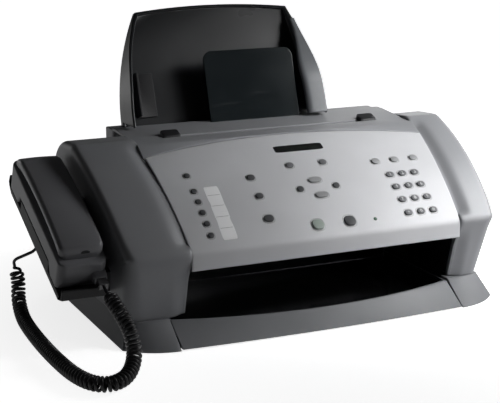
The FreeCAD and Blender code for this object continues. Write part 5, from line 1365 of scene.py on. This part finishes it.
BACK_ENDS, FACE_END = (-0.0715, 0.0800), -0.0800
BROW, BROW_LENGTH, BROW_DROP = 0.0625, 0.025, 0.015
CREST, CREST_ARCH = 0.036, 0.003
GROOVE_REACH, GROOVE_DEPTH, GROOVE_SHARE = 0.066, 0.0055, 0.58
SCOOP_SHARES = (0.25, 0.75)
BACK_INSET, BACK_CORNER, BACK_SINK = 0.0022, 0.007, 0.0006
BACK_END_SHARES, BACK_END = (0.45, 0.55), 0.004
BACK_EDGE, BACK_EDGE_SHARE, BACK_CROWN, LIP_SHARE = 0.0042, 0.34, 0.0006, 0.35
FACE_INSET, FACE_CORNER, FACE_SINK, FACE_ROUND = 0.0002, 0.008, 0.0008, 0.0025
FACE_EDGE, UNDER_EDGE = 0.0022, 0.0035
CHIN_RISE, CHIN_FROM, CHIN_OVER = 0.009, 0.0710, 0.009
HEAD_RISE, HEAD_FROM, HEAD_OVER, HEAD_INSET = 0.005, 0.0800, 0.006, 0.0005
CUP_LEVEL, CUP_DEPTH, CUP_FROM, CUP_SLOPE = 0.003, 0.011, 0.0475, 0.010
CUPS, CUP_UNDERSIDE = (-0.0640, 0.0680), -0.008
JACK_X, JACK_Z, JACK_FLAT = 0.015, 0.0065, 0.8
JACK_ROWS = [(-0.0770, 7.2), (-0.0810, 7.0), (-0.0845, 6.3), (-0.0864, 5.9), (-0.0868, 5.4)]
HOLLOW_PLACE, HOLLOW_FLAT, HOLLOW_LEAN = (0.003, -0.0712, 0.0283), 0.62, 0.10
HOLLOW_ROWS = [(4.2, -0.2), (4.2, 0.25), (3.6, 0.35), (0.0, 0.35)]
HOLE_STEPS = (3.6 * MM, 3.1 * MM)
HOLE_ROWS = [(1.15, -0.3), (1.15, 0.06), (0.9, 0.10), (0.0, 0.10)]


class FAX_OT_handset(bpy.types.Operator):
    """Handset, its cradle and hook"""

    bl_idname = "fax.handset"
    bl_label = "Handset"

    def execute(self, context):
        upper, dark = plastic("handset_plastic"), plastic("handset_black")
        for name, sections, material in (
            ("back", self.back(), upper), ("face", self.face(), plastic("handset_lower")),
        ):
            surface = grid(capped(sections), wrap_columns=True)
            solid = f"handset_{name}_shell"
            put(f"handset_{name}_skin", surface, material, "handset", [solid], sharp=65.0)
        put("handset_jack", grid(capped(self.jack())), upper, "handset")
        # a dark disc on the shell's lower end: painted shade of a hollow
        put("handset_notch", grid(self.notch()), dark, "handset")
        # grille holes as dark discs: painted shade of the holes
        holes = joined([self.hole(*spot) for spot in self.holes()])
        put("handset_grilles", holes, dark, "handset")
        # near black cradle: painted shade under the handset
        softened("handset_cradle")
        softened("hook_plunger")
        return {"FINISHED"}

    def to_frame(self, x, y, z):
        """Handset's own axes to the frame."""
        sizes = bpy.context.scene.fax_handset
        cosine, sine = math.cos(sizes.slope), math.sin(sizes.slope)
        place = sizes.place
        along = place[1] + y * cosine - z * sine
        return stacked(place[0] + x, along, place[2] + y * sine + z * cosine)

    def lengthwise(self, low, high, half_width, corner):
        """Steps along the handset, closer at both ends, and half the width of its rounded plan."""
        turn = np.linspace(-np.pi / 2, np.pi / 2, 121)
        y = (low + high) / 2 + (high - low) / 2 * np.sin(turn)
        over = np.clip(corner - np.minimum(y - low, high - y), 0, corner)
        return y[:, None], (half_width - corner + np.sqrt(corner**2 - over**2))[:, None]

    def ends(self, y, radius):
        """One along the handset, falling to nothing at both ends on a quarter circle."""
        near = np.minimum(y - y.min(), y.max() - y)
        return np.sqrt(1 - np.clip((radius - near) / radius, 0, 1) ** 2)

    def crest(self, y):
        """Height of the handset's back: a shallow arch that falls away past the brows."""
        reach = np.abs(y)
        arch = CREST + CREST_ARCH * (1 - np.clip(reach / BROW, 0, 1) ** 2)
        return arch - BROW_DROP * np.clip((reach - BROW) / BROW_LENGTH, 0, 1) ** 1.5

    def section(self, y, *runs):
        """Half sections from one middle line to the other, closed by their mirror image."""
        x, z = (
            np.concatenate([run[k][:, min(place, 1):] for place, run in enumerate(runs)], axis=1)
            for k in (0, 1)
        )
        x = np.concatenate([x, -x[:, -2:0:-1]], axis=1)
        z = np.concatenate([z, z[:, -2:0:-1]], axis=1)
        return self.to_frame(x, y, z)

    def back(self):
        """Upper shell's sections: finger groove, overhanging side, rounded edge and crowned top."""
        sizes = bpy.context.scene.fax_handset
        y, half = self.lengthwise(*BACK_ENDS, sizes.half_width - BACK_INSET, BACK_CORNER)
        base = sizes.shelf - BACK_SINK
        least, more = BACK_END_SHARES
        tall = (self.crest(y) - base) * (least + more * self.ends(y, BACK_END))
        least, more = SCOOP_SHARES
        scoop = least + more * np.sqrt(np.clip(1 - (y / GROOVE_REACH) ** 2, 0, 1))
        groove = GROOVE_SHARE * tall * scoop
        deep = GROOVE_DEPTH * scoop
        r = np.minimum(BACK_EDGE, BACK_EDGE_SHARE * tall)
        way = np.linspace(0, 1, 7)[None, :]
        turn = way * np.pi / 2
        over = tall - r - groove
        crown = BACK_CROWN * (1 - (1 - way) ** 2)
        return self.section(
            y,
            ((half - deep) * way, base + 0 * half * way),
            (half - deep + 0 * groove * way, base + groove * way),
            (half - deep * (1 - smooth(way)), base + groove + over * LIP_SHARE * way),
            (half + 0 * way, base + groove + over * (LIP_SHARE + (1 - LIP_SHARE) * way)),
            (half - r + r * np.cos(turn), base + tall - r + r * np.sin(turn)),
            ((half - r) * (1 - way), base + tall + crown),
        )

    def face(self):
        """Lower shell's sections: flat shelf, upright side, round underside, a cup at each end."""
        sizes = bpy.context.scene.fax_handset
        head, wide = sizes.half - HEAD_INSET, sizes.half_width - FACE_INSET
        y, half = self.lengthwise(FACE_END, head, wide, FACE_CORNER)
        low = CUP_LEVEL - CUP_DEPTH * smooth((np.abs(y) - CUP_FROM) / CUP_SLOPE)
        low = low + CHIN_RISE * np.clip((-y - CHIN_FROM) / CHIN_OVER, 0, 1) ** 2
        low = low + HEAD_RISE * np.clip((y - HEAD_FROM) / HEAD_OVER, 0, 1) ** 2
        shrink = FACE_ROUND * (1 - self.ends(y, FACE_ROUND))
        high = np.minimum(sizes.shelf, self.crest(y) - FACE_SINK) - shrink
        low = low + shrink
        way = np.linspace(0, 1, 7)[None, :]
        turn = way * np.pi / 2
        top, under = FACE_EDGE, UNDER_EDGE
        return self.section(
            y,
            ((half - top) * way, high + 0 * way),
            (half - top + top * np.sin(turn), high - top + top * np.cos(turn)),
            (half + 0 * way, high - top + (low + under - high + top) * way),
            (half - under + under * np.cos(turn), low + under - under * np.sin(turn)),
            ((half - under) * (1 - way), low + 0 * way),
        )

    def jack(self):
        """A tapered boss from the lower end to the cord's plug: rings against their places."""
        rows = np.array(JACK_ROWS)
        across, up = rings(rows[:, 1:] * MM, rows[:, 1:] * JACK_FLAT * MM, 49, 4.0)
        return self.to_frame(JACK_X + across, rows[:, :1], JACK_Z + up)

    def notch(self):
        """A small dark disc on the lower end of the upper shell, painted shade where a hollow
        shows: rings against depths.
        """
        rows = np.array(HOLLOW_ROWS) * MM
        x, y, z = HOLLOW_PLACE
        across, up = rings(rows[:, :1], rows[:, :1] * HOLLOW_FLAT, 33, 2.0)
        return self.to_frame(x + across, y - rows[:, 1:] - HOLLOW_LEAN * up, z + up)

    def holes(self):
        """Hexagonal patterns of grille holes under both cups."""
        rows = np.arange(-2, 3)
        across, along = np.meshgrid(*(rows * step for step in HOLE_STEPS))
        across = across + np.where(np.arange(5) % 2, HOLE_STEPS[0] / 2, 0.0)[:, None]
        spots = np.stack([across.ravel(), along.ravel()], axis=-1)
        return [(x, cup + y) for cup in CUPS for x, y in spots]

    def hole(self, x, y):
        """One grille hole: a low dark disc on the cup's underside, painted shade in place of the
        hole.
        """
        rows = np.array(HOLE_ROWS) * MM
        across, along = rings(rows[:, :1], rows[:, :1], 13, 2.0)
        return self.to_frame(x + across, y + along, CUP_UNDERSIDE - rows[:, 1:])


# Details on the back wall; rings: (share of the half sizes, height over the wall in millimetres)

BACK_WALL = 0.1070
LOUVRES, LOUVRE_X, LOUVRE_HALF = np.linspace(0.072, 0.128, 9), -0.060, 0.043
HOOD_FOOT, HOOD_DEPTH, HOOD_HEIGHT = 0.1068, 0.0016, 0.0018
SLOT_DROP, SLOT_HALVES = 0.0036, (0.042, 0.0012)
SLOT_ROWS = [(1.0, -0.2), (1.0, 0.10), (0.6, 0.12), (0.0, 0.12)]
SCREWS = [(x, z) for x in (-0.131, 0.156) for z in (0.033, 0.140)]
SCREW_HALVES = (0.0034, 0.0034)
SCREW_ROWS = [(1.0, -0.3), (1.0, 0.25), (0.92, 0.65), (0.6, 0.95), (0.0, 1.0)]
CROSS_HALVES = ((0.0021, 0.00045), (0.00045, 0.0021))
CROSS_ROWS = [(1.0, 0.6), (1.0, 1.02), (0.5, 1.05), (0.0, 1.05)]
ROD_BEVEL = 0.0005

# rods in the sockets: height, radius, start and end; and where they stand across

PIN, CONTACT = (0.047, 0.0011, 0.0965, 0.1040), (0.0455, 0.0003, 0.0985, 0.1050)
PINS = [0.100 + side * 0.0042 for side in (-1, 1)]
CONTACTS = [
    socket + step * 0.0013 for socket in (0.1207, 0.1360) for step in (-1.5, -0.5, 0.5, 1.5)
]


class FAX_OT_rear(bpy.types.Operator):
    """Rear cover and its sockets"""

    bl_idname = "fax.rear"
    bl_label = "Rear cover"

    def execute(self, context):
        grey, dark, bright = plastic("grey_casing"), plastic("gloss_black"), metal("bright_steel")
        softened("rear_cover")
        softened("rear_sockets")
        put("rear_louvres", joined([self.hood(z) for z in LOUVRES]), grey, "housing")
        # the slots under the louvre hoods are dark discs: painted shade of the openings
        slots = [
            self.disc(LOUVRE_X, z - SLOT_DROP, SLOT_HALVES, SLOT_ROWS, 10.0) for z in LOUVRES
        ]
        put("rear_slots", joined(slots), dark, "housing")
        heads = [self.disc(x, z, SCREW_HALVES, SCREW_ROWS, 2.0) for x, z in SCREWS]
        put("rear_screws", joined(heads), bright, "housing")
        # the crosses in the screw heads are dark raised discs: painted shade of the recesses
        crosses = [
            self.disc(x, z, halves, CROSS_ROWS, 8.0) for x, z in SCREWS for halves in CROSS_HALVES
        ]
        put("rear_screw_slots", joined(crosses), dark, "housing")
        pins = [capped(self.rod(x, *PIN)) for x in PINS]
        put("inlet_pins", joined(pins), bright, "housing")
        wires = [capped(self.rod(x, *CONTACT)) for x in CONTACTS]
        put("socket_contacts", joined(wires), metal("contact_gold"), "housing")
        return {"FINISHED"}

    def hood(self, z):
        """A louvre's hood: half an ellipse above its slot, drawn in to the wall at both ends."""
        way = np.linspace(-1, 1, 41)[:, None]
        turn = np.linspace(0, np.pi, 11)[None, :]
        full = np.sqrt(np.clip(1 - way**12, 0, 1))
        y = HOOD_FOOT + HOOD_DEPTH * full * np.sin(turn)
        z = z - HOOD_HEIGHT * full * np.cos(turn)
        return stacked(LOUVRE_X - LOUVRE_HALF * way, y, z)

    def disc(self, x, z, halves, rows, power):
        """Rings on the back wall: shares of the half sizes against heights, in millimetres."""
        rows = np.array(rows)
        across, up = rings(halves[0] * rows[:, :1], halves[1] * rows[:, :1], 41, power)
        return stacked(x - across, BACK_WALL + rows[:, 1:] * MM, z + up)

    def rod(self, x, z, radius, start, end):
        """A round rod along y with a bevelled end: circles against places."""
        rows = np.array([(1.0, start), (1.0, end - ROD_BEVEL), (0.7, end)])
        across, up = rings(radius * rows[:, :1], radius * rows[:, :1], 17, 2.0)
        return stacked(x + across, rows[:, 1:], z + up)


WORKS = (
    "print_frame", "carriage_rod", "print_carriage", "drive_motor", "feed_roller", "drive_gear",
    "panel_board",
)


class FAX_OT_works(bpy.types.Operator):
    """Printing works inside: frame, rod, carriage, roller, gear, motor and circuit board"""

    bl_idname = "fax.works"
    bl_label = "Printing works"

    def execute(self, context):
        for name in WORKS:
            softened(name)
        return {"FINISHED"}


STEPS = (
    FAX_OT_stage, FAX_OT_cord, FAX_OT_panel, FAX_OT_keys, FAX_OT_inserts, FAX_OT_covers,
    FAX_OT_deck, FAX_OT_tray, FAX_OT_base, FAX_OT_handset, FAX_OT_rear, FAX_OT_works,
)


class FAX_PT_steps(bpy.types.Panel):
    """Lists the machine's pieces"""

    bl_idname = "FAX_PT_steps"
    bl_label = "Fax machine"
    bl_space_type = "VIEW_3D"
    bl_region_type = "UI"
    bl_category = "Fax"

    def draw(self, context):
        for step in STEPS:
            self.layout.operator(step.bl_idname)


GROUPS = (
    ("fax_finishes", FaxFinishes), ("fax_panel", FaxPanelSizes), ("fax_cover", FaxCoverSizes),
    ("fax_tray", FaxTraySizes), ("fax_handset", FaxHandsetSizes), ("fax_cord", FaxCordSizes),
    ("fax_stage", FaxStage),
)


def register():
    for name, group in GROUPS:
        bpy.utils.register_class(group)
        setattr(bpy.types.Scene, name, PointerProperty(type=group))
    for step in STEPS:
        bpy.utils.register_class(step)
    bpy.utils.register_class(FAX_PT_steps)


def unregister():
    bpy.utils.unregister_class(FAX_PT_steps)
    for step in reversed(STEPS):
        bpy.utils.unregister_class(step)
    for name, group in reversed(GROUPS):
        delattr(bpy.types.Scene, name)
        bpy.utils.unregister_class(group)


def main():
    register()
    for step in STEPS:
        group, name = step.bl_idname.split(".")
        getattr(getattr(bpy.ops, group), name)()


if __name__ == "__main__":
    main()
